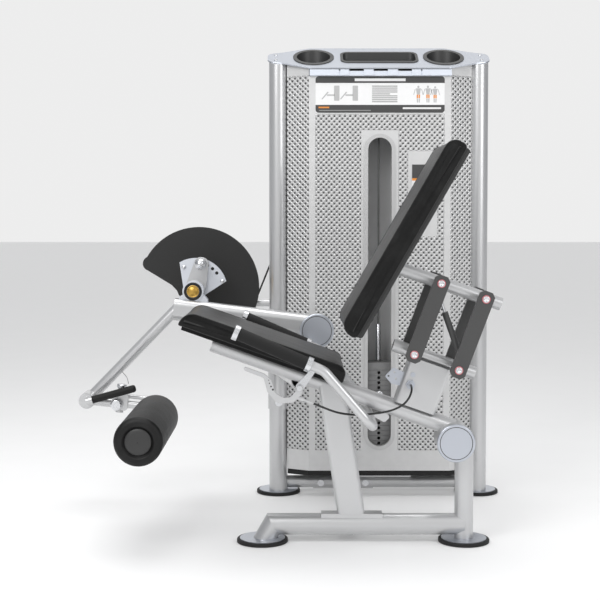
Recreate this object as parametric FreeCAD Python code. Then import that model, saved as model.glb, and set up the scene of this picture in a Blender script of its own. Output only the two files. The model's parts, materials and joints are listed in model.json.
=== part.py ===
"""Leg extension machine: seated strength trainer with a weight stack tower.

The machine is laid out about a working datum: X = 0 is a plane across the machine
under the rear half of the seat, Y = 0 is the seat's centre plane, Z = 0 is the floor.
X runs along the seat towards its back pad, Y from the user's near side to the tower.
At the end every piece is moved so that the origin is the bottom centre of the
bounding box.
"""
import FreeCAD, Part
import math
import os

V = FreeCAD.Vector

# ---- driving dimensions (mm) ----
RUN_GAP = 0.06                  # radial clearance of running fits
BODY_GAP = 0.4                  # clearance between pieces that move past each other
WALL = 3.0                      # steel tube wall

# feet
FOOT_R = 74.5
FOOT_PLATE_R = 66.0
FOOT_RUBBER_T = 10.0
FOOT_TOP = 12.0
NEAR_FOOT_LEFT_X = -110.0
NEAR_COLUMN_X = 479.0
TOWER_Y = 649.0
COLUMN_LEFT_X = -74.0
COLUMN_RIGHT_X = 607.0

# near frame
BASE_R = 31.0
BASE_Z = 51.0
BASE_LEFT_X = -78.0
LEG_ANGLE = 60.0                # mitred leg, degrees below level
NEAR_COLUMN_R = 27.5
NEAR_COLUMN_TOP = 282.0
STRUT_SIZE = (80.0, 50.0)       # along X, along Y
STRUT_CORNER = 13.0
STRUT_BOTTOM_X = 154.0
STRUT_LEAN = 8.5
SADDLE_X = (62.0, 240.0)
SADDLE_HALF_Y = 22.0

BEAM_SLOPE = 19.45              # seat beam, degrees below level towards the back
BEAM_START = (-255.0, 581.0)    # X, Z of the beam axis at the seat nose end
BEAM_LENGTH = 745.0
BEAM_R = 25.0

BOSS_R = 51.0
BOSS_CAP_R = 55.0
BOSS_CAP_T = 8.0
BOSS_REAR = (447.0, 301.0)      # X, Z of the rear boss
BOSS_REAR_Y = (-68.0, 60.0)
BOSS_SIDE = (54.0, 584.0)       # X, Z of the side boss
BOSS_SIDE_Y = (354.0, 446.0)

# back-pad linkage, measured along and square to the seat beam
POST_ALONG = (553.0, 677.0)
POST_HALF_Y = 33.0
POST_BASE = 20.0                # sits on the crown of the beam
POST_TOP = 158.0
LINK_FOOT_ALONG = 553.7
LINK_BASE = 134.4
LINK_FOOT_UP = 171.0
LINK_LENGTH = 215.8
LINK_LEAN = 1.2                 # from square to the beam, towards the back
LINK_WIDTH = 45.0
LINK_OVERHANG = 23.0
LINK_CHAMFER = 11.0
LINK_Y = (81.0, 95.0)
LINK_PIN_R = 9.5
RAIL_R = 19.0                   # the linkage's lower and upper tubes

# cushions
SEAT_ALONG = (-104.0, 386.0)
SEAT_HALF_Y = 172.0
SEAT_BOARD_T = 12.0
SEAT_PAD_T = 47.0
BACK_CENTRE = (290.6, 888.3)    # X, Z
BACK_LEAN = 29.9                # degrees from upright
BACK_LENGTH = 624.0
BACK_HALF_Y = 170.0
BACK_PAD_T = 58.0
BACK_SHELL_T = 13.0

# handles
HANDLE_Y = 262.0
HANDLE_R = 13.5
GRIP_R = 17.5
GRIP_START = (-171.0, 636.0)
GRIP_END = (23.0, 551.0)
HANDLE_BEND_AT = 258.0          # first bend, measured along the grip's line
HANDLE_LOW = (199.0, 377.0)

# pivot of the lever arm
PIVOT = (-344.6, 708.0)         # X, Z
AXLE_R = 15.5
SUPPORT_START = (-406.0, 650.0)
SUPPORT_END = (40.0, 596.0)
SUPPORT_Y = 400.0
SUPPORT_HALF_Y = 30.0
SUPPORT_HALF_Z = 36.0
CAM_Y = 640.0
CAM_T = 14.0
CAM_R = 205.0
GROOVE_R = 192.4                # floor of the cable groove
CABLE_R = 3.0
CABLE_LINE_R = 196.0            # cable centre line on the cam
CABLE_LEAVE = -22.0             # where the cable leaves the cam, degrees
SELECTOR_R = 104.0
SELECTOR_HOLE_R = 88.0
SELECTOR_ANGLES = (38.0, 51.0, 64.0, 77.0, 90.0)
START_ANGLE = 77.0
PIN_ARM_R = 21.0
START_PIN_DRAWN = 12.0          # the start pin is drawn clear of the plate by this travel

# lever arm
LEVER_Y = 461.0
LEVER_R = 18.0
LEVER_HUB = (-691.0, 352.0)
LEVER_HUB_R = 26.0
LEVER_HUB_Y = (398.0, 482.0)
ROLLER_AXIS = (-449.0, 325.0)
ROLLER_R = 69.5
ROLLER_Y = (-190.0, 257.0)
ANKLE_Y = 421.0
ANKLE_R = 12.5
ANKLE_GUIDE_LIFT = 27.0
CLAMP_AT = (80.0, 132.0)        # clamp block, distances from the hub

# tower
COLUMN_R = 31.0
COLUMN_HALF_Y = 50.0
PANEL_T = 3.0
PANEL_FRONT_Y = 574.0
PANEL_REAR_Y = 724.0
PANEL_X = (30.0, 506.0)
PANEL_Z = (88.0, 1418.0)
SIDE_REACH = (74.0, 39.0)       # angled panels: across and back
SLOT_X = 268.0
SLOT_HALF_X = 39.5
SLOT_Z = (172.0, 1213.0)
BEZEL_T = 13.0
BEZEL_PROUD = 5.0
TOP_FRONT_Y = 559.0
TOP_REAR_Y = 739.0
TOP_FRONT_Z = 1441.0
TOP_SLOPE = 25.8
TOP_T = 4.0
CUP_X = (46.0, 488.0)
CUP_R = 57.0
CUP_RIM_R = 69.5
CUP_DEPTH = 66.0
TRAY_X = (137.0, 401.0)
TRAY_Y = (599.0, 697.0)
TRAY_DEPTH = 20.0

# weight stack
STACK_X = 268.0
STACK_HALF_X = 112.0
STACK_HALF_Y = 42.0
PLATE_PITCH = 17.2
PLATE_T = 16.4
PLATE_COUNT = 18
LIFTED_COUNT = 5
STACK_FLOOR = 118.0
HEAD_T = 25.0
STEM_R = 8.5
STEM_TOP = 581.0
GUIDE_R = 9.5
GUIDE_OFFSET = 78.0
GUIDE_TOP = 1246.0
PULLEY_R = 74.0
PULLEY_LINE_R = 70.0
PULLEY_Z = 1341.0

# release lever, gas spring and cross tube
RELEASE_PIVOT = (-1.3, 488.0)
RELEASE_HOLES = ((-84, 510, 1.4), (-82, 501.5, 1.8), (-78, 493, 2.2), (-73, 484.5, 2.7))   # X, Z, radius
SPRING_Y = -40.0
TRANSVERSE_START = V(0, -4, 474)
TRANSVERSE_END = V(-74, 604, 440)
TRANSVERSE_R = 27.0

# free cords
CORD_ARC_SHARE = 0.45
RELEASE_CABLE_R = 3.0
LANYARD_R = 0.8
CORD_NODES = ("release_cable", "lanyard")

parts = {}


# ---- helpers ----
def flat(point, y=0.0):
    """A point of the side view (X, Z) at depth y."""
    return V(point[0], y, point[1])


def polar(centre, radius, degrees, y=0.0):
    """A point at a radius and an angle above level, in the side view."""
    turn = math.radians(degrees)
    return V(centre[0] + radius * math.cos(turn), y, centre[1] + radius * math.sin(turn))


def on_beam(along, up, y=0.0):
    """A point measured along the seat beam's axis and square to it."""
    slope = math.radians(BEAM_SLOPE)
    x = BEAM_START[0] + along * math.cos(slope) + up * math.sin(slope)
    z = BEAM_START[1] - along * math.sin(slope) + up * math.cos(slope)
    return V(x, y, z)


def box(x0, x1, y0, y1, z0, z1):
    return Part.makeBox(x1 - x0, y1 - y0, z1 - z0, V(x0, y0, z0))


def rod(start, end, radius):
    return Part.makeCylinder(radius, start.distanceToPoint(end), start, end - start)


def tube(start, end, radius, wall=WALL):
    return rod(start, end, radius).cut(rod(start, end, radius - wall))


def disc(centre, y0, y1, radius):
    return rod(flat(centre, y0), flat(centre, y1), radius)


def ring(centre, y0, y1, outer, inner):
    return disc(centre, y0, y1, outer).cut(disc(centre, y0 - 1, y1 + 1, inner))


def corner_arc(before, corner, after, radius):
    """The tangent arc that rounds one corner of a path."""
    into = (corner - before).normalize()
    out = (after - corner).normalize()
    turn = into.getAngle(out)
    trim = radius * math.tan(turn / 2)
    inward = (out - into).normalize()
    middle = corner + inward * (radius / math.cos(turn / 2) - radius)
    return corner - into * trim, middle, corner + out * trim


def rounded_path(points, radii, closed):
    """Straight runs through the points, joined by tangent arcs."""
    count = len(points)
    edges = []
    last_end = None
    first_start = None
    for index, point in enumerate(points):
        at_end = not closed and index in (0, count - 1)
        if at_end or radii[index] == 0:
            start, end = point, point
        else:
            before = points[index - 1]
            after = points[(index + 1) % count]
            start, middle, end = corner_arc(before, point, after, radii[index])
        if last_end is None:
            first_start = start
        elif last_end.distanceToPoint(start) > 1e-6:
            edges.append(Part.LineSegment(last_end, start).toShape())
        if start.distanceToPoint(end) > 1e-6:
            edges.append(Part.Arc(start, middle, end).toShape())
        last_end = end
    if closed and last_end.distanceToPoint(first_start) > 1e-6:
        edges.append(Part.LineSegment(last_end, first_start).toShape())
    return Part.Wire(edges)


def prism(points, radii, y0, y1):
    """A side-view outline with rounded corners, from y0 to y1."""
    if not isinstance(radii, (list, tuple)):
        radii = [radii] * len(points)
    corners = [V(p[0], y0, p[-1]) for p in points]
    return Part.Face(rounded_path(corners, radii, True)).extrude(V(0, y1 - y0, 0))


def plan_prism(points, radii, z0, z1):
    """A plan-view outline with rounded corners, from z0 to z1."""
    if not isinstance(radii, (list, tuple)):
        radii = [radii] * len(points)
    corners = [V(p[0], p[1], z0) for p in points]
    return Part.Face(rounded_path(corners, radii, True)).extrude(V(0, 0, z1 - z0))


def bent_rod(points, radii, radius):
    """A round bar swept along straight runs and tangent arcs."""
    wire = rounded_path(points, radii, False)
    profile = Part.Wire(Part.makeCircle(radius, points[0], points[1] - points[0]))
    return wire.makePipeShell([profile], True, False)


def beam_block(along0, along1, up0, up1, y0, y1, radius):
    """A block square to the seat beam with its side-view corners rounded."""
    outline = [on_beam(a, u) for a, u in ((along0, up0), (along1, up0), (along1, up1), (along0, up1))]
    return prism([(p.x, p.z) for p in outline], radius, y0, y1)


def fuse(*shapes):
    return shapes[0].multiFuse(list(shapes[1:])).removeSplitter()


def largest(shape):
    return max(shape.Solids, key=lambda solid: solid.Volume)


def group(*shapes):
    return Part.makeCompound([solid for shape in shapes for solid in shape.Solids])


# ---- near frame ----
def near_frame():
    base_left = V(BASE_LEFT_X, 0, BASE_Z)
    base_right = V(NEAR_COLUMN_X, 0, BASE_Z)
    leg = math.radians(LEG_ANGLE)
    leg_end = base_left + V(-math.cos(leg), 0, -math.sin(leg)) * 90
    column_outer = rod(V(NEAR_COLUMN_X, 0, FOOT_TOP), V(NEAR_COLUMN_X, 0, NEAR_COLUMN_TOP), NEAR_COLUMN_R)
    mitre = Part.makeBox(900, 200, 900, V(0, -100, -450))
    mitre.Placement = FreeCAD.Placement(base_left, FreeCAD.Rotation(V(0, 1, 0), -LEG_ANGLE / 2),
                                        V(0, 0, 0)).multiply(mitre.Placement)
    above_foot = box(-400, 800, -100, 100, FOOT_TOP, 400)

    def base_bar(radius):
        level = rod(base_left - V(60, 0, 0), base_right, radius).common(mitre)
        slant = rod(leg_end, base_left + (base_left - leg_end).normalize() * 60, radius)
        return fuse(level, slant.cut(mitre).common(above_foot))

    base = base_bar(BASE_R).cut(base_bar(BASE_R - WALL)).cut(column_outer)
    saddle = box(SADDLE_X[0], SADDLE_X[1], -SADDLE_HALF_Y, SADDLE_HALF_Y, BASE_Z + 15, BASE_Z + BASE_R + 3)
    saddle = largest(saddle.cut(rod(base_left, base_right, BASE_R)))
    parts["base_tube"] = group(largest(base), saddle)

    boss_outer = disc(BOSS_REAR, BOSS_REAR_Y[0], BOSS_REAR_Y[1], BOSS_R)
    boss = boss_outer.cut(disc(BOSS_REAR, BOSS_REAR_Y[0], BOSS_REAR_Y[1], BOSS_R - 5))
    back_wall = disc(BOSS_REAR, BOSS_REAR_Y[1] - 4, BOSS_REAR_Y[1], BOSS_R - 5)
    column = column_outer.cut(rod(V(NEAR_COLUMN_X, 0, FOOT_TOP), V(NEAR_COLUMN_X, 0, NEAR_COLUMN_TOP),
                                  NEAR_COLUMN_R - WALL)).cut(boss_outer)
    parts["near_column"] = fuse(largest(column), boss, back_wall)

    beam_end = on_beam(BEAM_LENGTH, 0)
    beam_outer = rod(on_beam(0, 0), beam_end, BEAM_R)
    beam = tube(on_beam(0, 0), beam_end, BEAM_R).cut(boss_outer)
    parts["main_beam"] = largest(beam)

    lean = math.radians(STRUT_LEAN)
    lean_way = V(-math.sin(lean), 0, math.cos(lean))
    half = V(math.cos(lean), 0, math.sin(lean)) * (STRUT_SIZE[0] / 2)
    low = V(STRUT_BOTTOM_X, 0, BASE_Z)

    def strut_bar(inset):
        side = half * (1 - 2 * inset / STRUT_SIZE[0])
        depth = V(0, STRUT_SIZE[1] / 2 - inset, 0)
        corners = [low - side - depth, low + side - depth, low + side + depth, low - side + depth]
        wire = rounded_path(corners, [STRUT_CORNER - inset] * 4, True)
        return Part.Face(wire).extrude(lean_way * 430)

    strut = strut_bar(0).cut(strut_bar(WALL)).cut(beam_outer)
    strut = strut.cut(box(-400, 800, -100, 100, 0, BASE_Z + BASE_R + 3))
    parts["strut"] = min(strut.Solids, key=lambda solid: solid.BoundBox.ZMin)

    rail_low = on_beam(LINK_FOOT_ALONG - 57, LINK_FOOT_UP)
    rail_high = on_beam(LINK_FOOT_ALONG + LINK_BASE + 61, LINK_FOOT_UP)
    rail = tube(rail_low, rail_high, RAIL_R)
    for along in (0, LINK_BASE):
        eye = on_beam(LINK_FOOT_ALONG + along, LINK_FOOT_UP)
        rail = rail.cut(disc((eye.x, eye.z), -40, 40, LINK_PIN_R + RUN_GAP))
    parts["lower_tube"] = rail

    def post_bar(inset):
        return beam_block(POST_ALONG[0] + inset, POST_ALONG[1] - inset, POST_BASE, POST_TOP,
                          -POST_HALF_Y + inset, POST_HALF_Y - inset, 0)

    post = post_bar(0)
    upright = [edge for edge in post.Edges if abs(edge.Length - (POST_TOP - POST_BASE)) < 1e-3]
    post = post.makeFillet(11, upright).cut(post_bar(WALL + 1))
    post = post.cut(beam_outer).cut(rod(rail_low, rail_high, RAIL_R))
    parts["seat_post"] = largest(post)
    return base_left, base_right, beam_outer


BASE_LEFT, BASE_RIGHT, BEAM_OUTER = near_frame()


def feet():
    rubbers = []
    plates = []
    centres = [(NEAR_FOOT_LEFT_X, 0), (NEAR_COLUMN_X, 0)]
    centres += [(COLUMN_LEFT_X, TOWER_Y), (COLUMN_RIGHT_X, TOWER_Y)]
    for x, y in centres:
        rubber = rod(V(x, y, 0), V(x, y, FOOT_RUBBER_T), FOOT_R)
        rubber = rubber.makeFillet(3, [e for e in rubber.Edges if e.BoundBox.ZMin > 1 and e.Length > 300])
        recess = rod(V(x, y, FOOT_RUBBER_T - 4), V(x, y, FOOT_TOP), FOOT_PLATE_R)
        rubbers.append(rubber.cut(recess))
        plates.append(rod(V(x, y, FOOT_RUBBER_T - 4), V(x, y, FOOT_TOP), FOOT_PLATE_R))
    parts["foot_rubbers"] = group(*rubbers)
    parts["foot_plates"] = group(*plates)


feet()


def boss_caps():
    caps = []
    for centre, near in ((BOSS_REAR, BOSS_REAR_Y[0]), (BOSS_SIDE, BOSS_SIDE_Y[0])):
        cap = disc(centre, near - BOSS_CAP_T, near, BOSS_CAP_R)
        rim = [edge for edge in cap.Edges if edge.BoundBox.YMax < near - 1 and edge.Length > 300]
        cap = cap.makeFillet(3.5, rim)
        caps.append(cap.cut(ring(centre, near - BOSS_CAP_T - 1, near - BOSS_CAP_T + 1.5, 47.5, 45.5)))
    parts["boss_caps"] = group(*caps)


boss_caps()


def post_fittings():
    """The cable gland and a small screw on the post's face, and the plate on its front side."""
    gland_at = on_beam(579, 82)
    hexagon = [polar((gland_at.x, gland_at.z), 14, 60 * n) for n in range(6)]
    nut = prism(hexagon, 0, -POST_HALF_Y - 9, -POST_HALF_Y)
    collar = disc((gland_at.x, gland_at.z), -POST_HALF_Y - 20, -POST_HALF_Y - 9, 8)
    gland = fuse(nut, collar)
    screw_at = on_beam(577, 111)
    screw = disc((screw_at.x, screw_at.z), -POST_HALF_Y - 4, -POST_HALF_Y, 7)
    outline = [on_beam(a, u) for a, u in ((504, 78), (519, 110), (553, 107), (553, 66), (528, 64))]
    plate = prism([(p.x, p.z) for p in outline], [5, 5, 0, 0, 5], -14, -9)
    for along, up in ((514, 82), (526, 98), (536, 82)):
        eye = on_beam(along, up)
        plate = plate.cut(disc((eye.x, eye.z), -20, 0, 3))
    parts["post_fittings"] = group(gland, screw, plate)
    return gland_at


GLAND = post_fittings()


# ---- seat ----
def seat():
    board = beam_block(SEAT_ALONG[0] + 14, SEAT_ALONG[1] - 12, BEAM_R + 0.3, BEAM_R + SEAT_BOARD_T,
                       -SEAT_HALF_Y + 14, SEAT_HALF_Y - 14, 0)
    parts["seat_board"] = board
    low = BEAM_R + SEAT_BOARD_T
    outline = [on_beam(a, u) for a, u in ((SEAT_ALONG[0], low), (SEAT_ALONG[1], low),
                                          (SEAT_ALONG[1], low + SEAT_PAD_T),
                                          (SEAT_ALONG[0], low + SEAT_PAD_T))]
    pad = prism([(p.x, p.z) for p in outline], [3, 3, 26, 40], -SEAT_HALF_Y, SEAT_HALF_Y)
    parts["seat_pad"] = pad


seat()


# ---- handles ----
def handle_route(side):
    """The near or far half of the handle tube, from the grip to the cross bar."""
    y = side * HANDLE_Y
    return [flat(GRIP_START, y), grip_point(HANDLE_BEND_AT, side), flat(HANDLE_LOW, y), flat(HANDLE_LOW, 0)]


def grip_point(distance, side):
    start = flat(GRIP_START, side * HANDLE_Y)
    way = (flat(GRIP_END, side * HANDLE_Y) - start).normalize()
    return start + way * distance


def handles():
    halves = [bent_rod(handle_route(side), [0, 45, 42, 0], HANDLE_R) for side in (-1, 1)]
    bar = fuse(*halves)
    lug = prism([(196, 378), (246, 350), (262, 366), (250, 380)], [0, 7, 7, 0], -7, 7)
    lug = lug.cut(rod(flat(HANDLE_LOW, -60), flat(HANDLE_LOW, 60), HANDLE_R))
    bar = fuse(bar, lug).cut(BEAM_OUTER)
    parts["handle_tube"] = largest(bar)
    length = flat(GRIP_START).distanceToPoint(flat(GRIP_END))
    grips = []
    collars = []
    for side in (-1, 1):
        bore = rod(grip_point(-5, side), grip_point(length + 30, side), HANDLE_R)
        grip = rod(grip_point(6, side), grip_point(length - 6, side), GRIP_R)
        grips.append(grip.cut(bore))
        for start in (-8, length - 6):
            ringed = rod(grip_point(start, side), grip_point(start + 14, side), GRIP_R + 3.5)
            collars.append(ringed.cut(bore))
    parts["grips"] = group(*grips)
    near_collar = collars[1]
    hanger = prism([(30, 538), (42, 532), (8, 482), (-9, 480), (-12, 494)], [0, 0, 9, 9, 9],
                   -HANDLE_Y - 5, -HANDLE_Y + 1)
    hanger = hanger.cut(rod(grip_point(length - 30, -1), grip_point(length + 9, -1), GRIP_R))
    hanger = hanger.cut(disc(RELEASE_PIVOT, -HANDLE_Y - 30, -HANDLE_Y + 30, 4))
    hanger = hanger.cut(parts["handle_tube"])
    bolt = disc(RELEASE_PIVOT, -HANDLE_Y - 17, -HANDLE_Y + 4, 4)
    bolt = fuse(bolt, disc(RELEASE_PIVOT, -HANDLE_Y - 20, -HANDLE_Y - 17, 7.5))
    collars[1] = fuse(near_collar, hanger)
    parts["grip_collars"] = group(*collars, bolt.cut(hanger))


handles()


def release_lever():
    """Flat C-shaped lever with a finger bar; it hangs on the bolt of the collar's bracket."""
    y0 = -HANDLE_Y - 14
    y1 = -HANDLE_Y - 7
    outline = [(10, 492), (6, 474), (-18, 449), (-62, 447), (-88, 478), (-98, 516), (-150, 536),
               (-152, 547), (-96, 527), (-79, 512), (-66, 474), (-44, 462), (-24, 464), (-10, 482),
               (-8, 496)]
    lever = prism(outline, [4, 6, 14, 18, 18, 8, 4, 4, 10, 8, 10, 8, 8, 4, 4], y0, y1)
    lever = lever.cut(disc(RELEASE_PIVOT, y0 - 5, y1 + 5, 4 + RUN_GAP))
    for x, z, radius in RELEASE_HOLES:
        lever = lever.cut(disc((x, z), y0 - 5, y1 + 5, radius))
    barrel_start = V(-12, y1 + 6.5, 464)
    way = V(0.93, 0, -0.37).normalize()
    barrel = rod(barrel_start, barrel_start + way * 24, 6.4)
    sleeve = rod(barrel_start + way * 24, barrel_start + way * 52, 3.4)
    parts["release_lever"] = group(lever, fuse(barrel, sleeve).cut(lever))
    return barrel_start + way * 52, way


CABLE_EXIT, CABLE_WAY = release_lever()


# ---- back pad and its parallelogram ----
def link_point(index, upper):
    along = LINK_FOOT_ALONG + index * LINK_BASE
    if not upper:
        return on_beam(along, LINK_FOOT_UP)
    lean = math.radians(LINK_LEAN)
    return on_beam(along + LINK_LENGTH * math.sin(lean), LINK_FOOT_UP + LINK_LENGTH * math.cos(lean))


def link_pair(index):
    foot = link_point(index, False)
    head = link_point(index, True)
    way = (head - foot).normalize()
    side = V(way.z, 0, -way.x) * (LINK_WIDTH / 2)
    chamfer_side = V(way.z, 0, -way.x) * (LINK_WIDTH / 2 - LINK_CHAMFER)
    low = foot - way * LINK_OVERHANG
    high = head + way * LINK_OVERHANG
    cut = way * LINK_CHAMFER
    corners = [low - chamfer_side, low + chamfer_side, low + side + cut, high + side - cut,
               high + chamfer_side, high - chamfer_side, high - side - cut, low - side + cut]
    outline = [(p.x, p.z) for p in corners]
    plates = []
    for face in (-1, 1):
        y0, y1 = sorted((face * LINK_Y[0], face * LINK_Y[1]))
        plate = prism(outline, 2, y0, y1)
        for eye in (foot, head):
            plate = plate.cut(disc((eye.x, eye.z), y0 - 1, y1 + 1, LINK_PIN_R))
        plates.append(plate)
    pins = [disc((eye.x, eye.z), -LINK_Y[1] - 2, LINK_Y[1] + 2, LINK_PIN_R) for eye in (foot, head)]
    return group(*plates, *pins)


def back_axes():
    lean = math.radians(BACK_LEAN)
    up = V(math.sin(lean), 0, math.cos(lean))
    back = V(math.cos(lean), 0, -math.sin(lean))
    return V(BACK_CENTRE[0], 0, BACK_CENTRE[1]), up, back


def back_slab(up0, up1, back0, back1, radii, half_y):
    centre, up, back = back_axes()
    limits = ((up0, back0), (up0, back1), (up1, back1), (up1, back0))
    corners = [centre + up * u + back * b for u, b in limits]
    return prism([(p.x, p.z) for p in corners], radii, -half_y, half_y)


def back_pad():
    half = BACK_LENGTH / 2
    front = -BACK_PAD_T + 23
    parts["back_pad"] = back_slab(-half, half, front, 23, [30, 4, 4, 24], BACK_HALF_Y)
    rail_low, rail_high = link_point(0, True), link_point(1, True)
    way = (rail_high - rail_low).normalize()
    shell = back_slab(-half + 10, half - 10, 23, 23 + BACK_SHELL_T, [2, 9, 9, 2], BACK_HALF_Y - 6)
    parts["back_shell"] = shell
    plate = back_slab(-185, 45, 23 + BACK_SHELL_T, 29 + BACK_SHELL_T, 2, 45)
    bar_outer = rod(rail_low - way * 150, rail_high + way * 60, RAIL_R)
    bar = bar_outer.cut(rod(rail_low - way * 150, rail_high + way * 60, RAIL_R - WALL))
    behind = back_slab(-600, 600, 29 + BACK_SHELL_T, 900, 0, 200)
    bar = largest(bar.common(behind))
    for index in (0, 1):
        eye = link_point(index, True)
        bar = bar.cut(disc((eye.x, eye.z), -40, 40, LINK_PIN_R + RUN_GAP))
    parts["upper_tube"] = fuse(bar, plate)
    return way


RAIL_WAY = back_pad()
parts["front_links"] = link_pair(0)
parts["rear_links"] = link_pair(1)


def gas_spring():
    """Lockable gas spring across the linkage, beside its tubes; both ends turn on side pegs."""
    head = link_point(0, True) + V(-4, 0, -30)
    foot = link_point(1, False) + V(20, 0, 6)
    way = (head - foot).normalize()
    y = V(0, SPRING_Y, 0)
    body_end = foot + way * 165
    body = rod(foot + way * 9 + y, body_end + y, 9)
    body = body.cut(rod(foot + way * 60 + y, body_end + way * 5 + y, 4 + RUN_GAP))
    eye = disc((foot.x, foot.z), SPRING_Y - 6, SPRING_Y + 6, 10).cut(
        disc((foot.x, foot.z), -60, 60, 5 + RUN_GAP))
    parts["gas_cylinder"] = fuse(body, eye)
    stem = rod(foot + way * 104 + y, head - way * 8 + y, 4)
    head_eye = disc((head.x, head.z), SPRING_Y - 5, SPRING_Y + 5, 10)
    head_hole = disc((head.x, head.z), -60, 60, 7.6)
    parts["gas_rod"] = fuse(stem, head_eye).cut(head_hole)
    foot_peg = disc((foot.x, foot.z), SPRING_Y - 8, -8, 5)
    foot_plate = prism([(foot.x - 14, foot.z - 12), (foot.x + 12, foot.z - 12), (foot.x + 12, foot.z + 10),
                        (foot.x - 14, foot.z + 10)], 4, -16, -8)
    rail = rod(on_beam(0, LINK_FOOT_UP), on_beam(900, LINK_FOOT_UP), RAIL_R)
    mount = fuse(foot_peg, foot_plate).cut(rail)
    parts["lower_tube"] = fuse(parts["lower_tube"], largest(mount))
    peg = disc((head.x, head.z), SPRING_Y - 8, -7, 4)
    tab = prism([(head.x - 10, head.z - 8), (head.x + 10, head.z - 8), (head.x + 22, head.z + 30),
                 (head.x - 14, head.z + 40)], 4, -15, -7)
    upper_rail = rod(link_point(0, True) - RAIL_WAY * 200, link_point(1, True) + RAIL_WAY * 90, RAIL_R)
    hanger = largest(fuse(peg, tab).cut(upper_rail))
    parts["upper_tube"] = fuse(parts["upper_tube"], hanger)
    print("gas spring from", foot, "to", head)


gas_spring()


# ---- side frame that carries the pivot ----
def support_frame():
    start = flat(SUPPORT_START, SUPPORT_Y)
    end = flat(SUPPORT_END, SUPPORT_Y)
    way = (end - start).normalize()
    up = V(-way.z, 0, way.x)
    length = start.distanceToPoint(end)

    def bar(inset):
        half_y = V(0, SUPPORT_HALF_Y - inset, 0)
        half_up = up * (SUPPORT_HALF_Z - inset)
        corners = [start - half_up - half_y, start - half_up + half_y,
                   start + half_up + half_y, start + half_up - half_y]
        wire = rounded_path(corners, [22 - inset] * 4, True)
        return Part.Face(wire).extrude(way * length)

    boss_outer = disc(BOSS_SIDE, BOSS_SIDE_Y[0], BOSS_SIDE_Y[1], BOSS_R)
    boss = boss_outer.cut(disc(BOSS_SIDE, BOSS_SIDE_Y[0], BOSS_SIDE_Y[1], BOSS_R - 5))
    back_wall = disc(BOSS_SIDE, BOSS_SIDE_Y[1] - 4, BOSS_SIDE_Y[1], BOSS_R - 5)
    beam = largest(bar(0).cut(bar(WALL)).cut(boss_outer))
    end_plug = bar(WALL).common(box(-500, SUPPORT_START[0] + 6, 300, 500, 500, 800))
    post_low, post_high = V(-48, SUPPORT_Y, 452), V(72, SUPPORT_Y, 560)
    post = largest(tube(post_low, post_high, 25).cut(boss_outer).cut(TRANSVERSE_OUTER))
    parts["support_tube"] = fuse(beam, end_plug, boss, back_wall, post)
    return bar(0)


TRANSVERSE_OUTER = rod(TRANSVERSE_START, TRANSVERSE_END, TRANSVERSE_R)


def column_solid(x, grow, z0, z1):
    """An upright oval bar: two half rounds joined by flats."""
    radius = COLUMN_R + grow
    reach = COLUMN_HALF_Y - COLUMN_R
    ends = [rod(V(x, y, z0), V(x, y, z1), radius) for y in (TOWER_Y - reach, TOWER_Y + reach)]
    return fuse(*ends, box(x - radius, x + radius, TOWER_Y - reach, TOWER_Y + reach, z0, z1))


def under_top(drop):
    """Everything below the tilted top plate, lowered by a drop."""
    slope = math.tan(math.radians(TOP_SLOPE))
    front = TOP_FRONT_Z - drop
    y0, y1 = TOP_FRONT_Y - 200, TOP_REAR_Y + 200
    z0, z1 = front + slope * (y0 - TOP_FRONT_Y), front + slope * (y1 - TOP_FRONT_Y)
    profile = Part.makePolygon([V(-400, y0, -50), V(-400, y1, -50), V(-400, y1, z1), V(-400, y0, z0),
                                V(-400, y0, -50)])
    return Part.Face(profile).extrude(V(1400, 0, 0))


def transverse():
    collar = column_solid(COLUMN_LEFT_X, 4, 292, 470).cut(column_solid(COLUMN_LEFT_X, 0, 280, 480))
    bar = tube(TRANSVERSE_START, TRANSVERSE_END, TRANSVERSE_R)
    bar = bar.cut(column_solid(COLUMN_LEFT_X, 4, 200, 600)).cut(BEAM_OUTER)
    pieces = sorted(bar.Solids, key=lambda solid: solid.Volume)
    parts["transverse_tube"] = fuse(collar, pieces[-1])


def bearings():
    housing = disc(PIVOT, 388, 430, 34)
    foot_left, foot_right = PIVOT[0] - 45, PIVOT[0] + 47
    foot = prism([(foot_left, 650), (foot_right, 650), (foot_right, 681), (PIVOT[0] + 30, 700),
                  (PIVOT[0] - 30, 700), (foot_left, 690)], [0, 0, 3, 20, 20, 3], 392, 428)
    block = fuse(housing, foot).cut(SUPPORT_BAR)
    block = largest(block).cut(disc(PIVOT, 380, 440, AXLE_R + RUN_GAP))
    block = block.cut(ring(PIVOT, 386, 390, 29, 20))
    seal = ring(PIVOT, 386, 390, 29, 20)
    parts["pillow_block"] = group(block, seal)
    far_y = 668.0
    bar_z = 651.0
    bar = tube(V(PIVOT[0] - 26, far_y, bar_z), V(COLUMN_LEFT_X, far_y, bar_z), 13)
    bar = bar.cut(column_solid(COLUMN_LEFT_X, 0, 500, 800))
    bar = min(bar.Solids, key=lambda solid: solid.BoundBox.XMin)
    cheek = prism([(PIVOT[0] - 28, 640), (PIVOT[0] + 28, 640), (PIVOT[0] + 28, PIVOT[1] + 26),
                   (PIVOT[0] - 28, PIVOT[1] + 26)], [6, 6, 24, 24], 662, 674)
    cheek = cheek.cut(rod(V(-500, far_y, bar_z), V(0, far_y, bar_z), 13))
    cheek = max(cheek.Solids, key=lambda solid: solid.BoundBox.ZMax)
    bracket = fuse(bar, cheek).cut(disc(PIVOT, 650, 690, AXLE_R + RUN_GAP))
    parts["cam_bracket"] = bracket


transverse()
SUPPORT_BAR = support_frame()
bearings()


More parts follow.
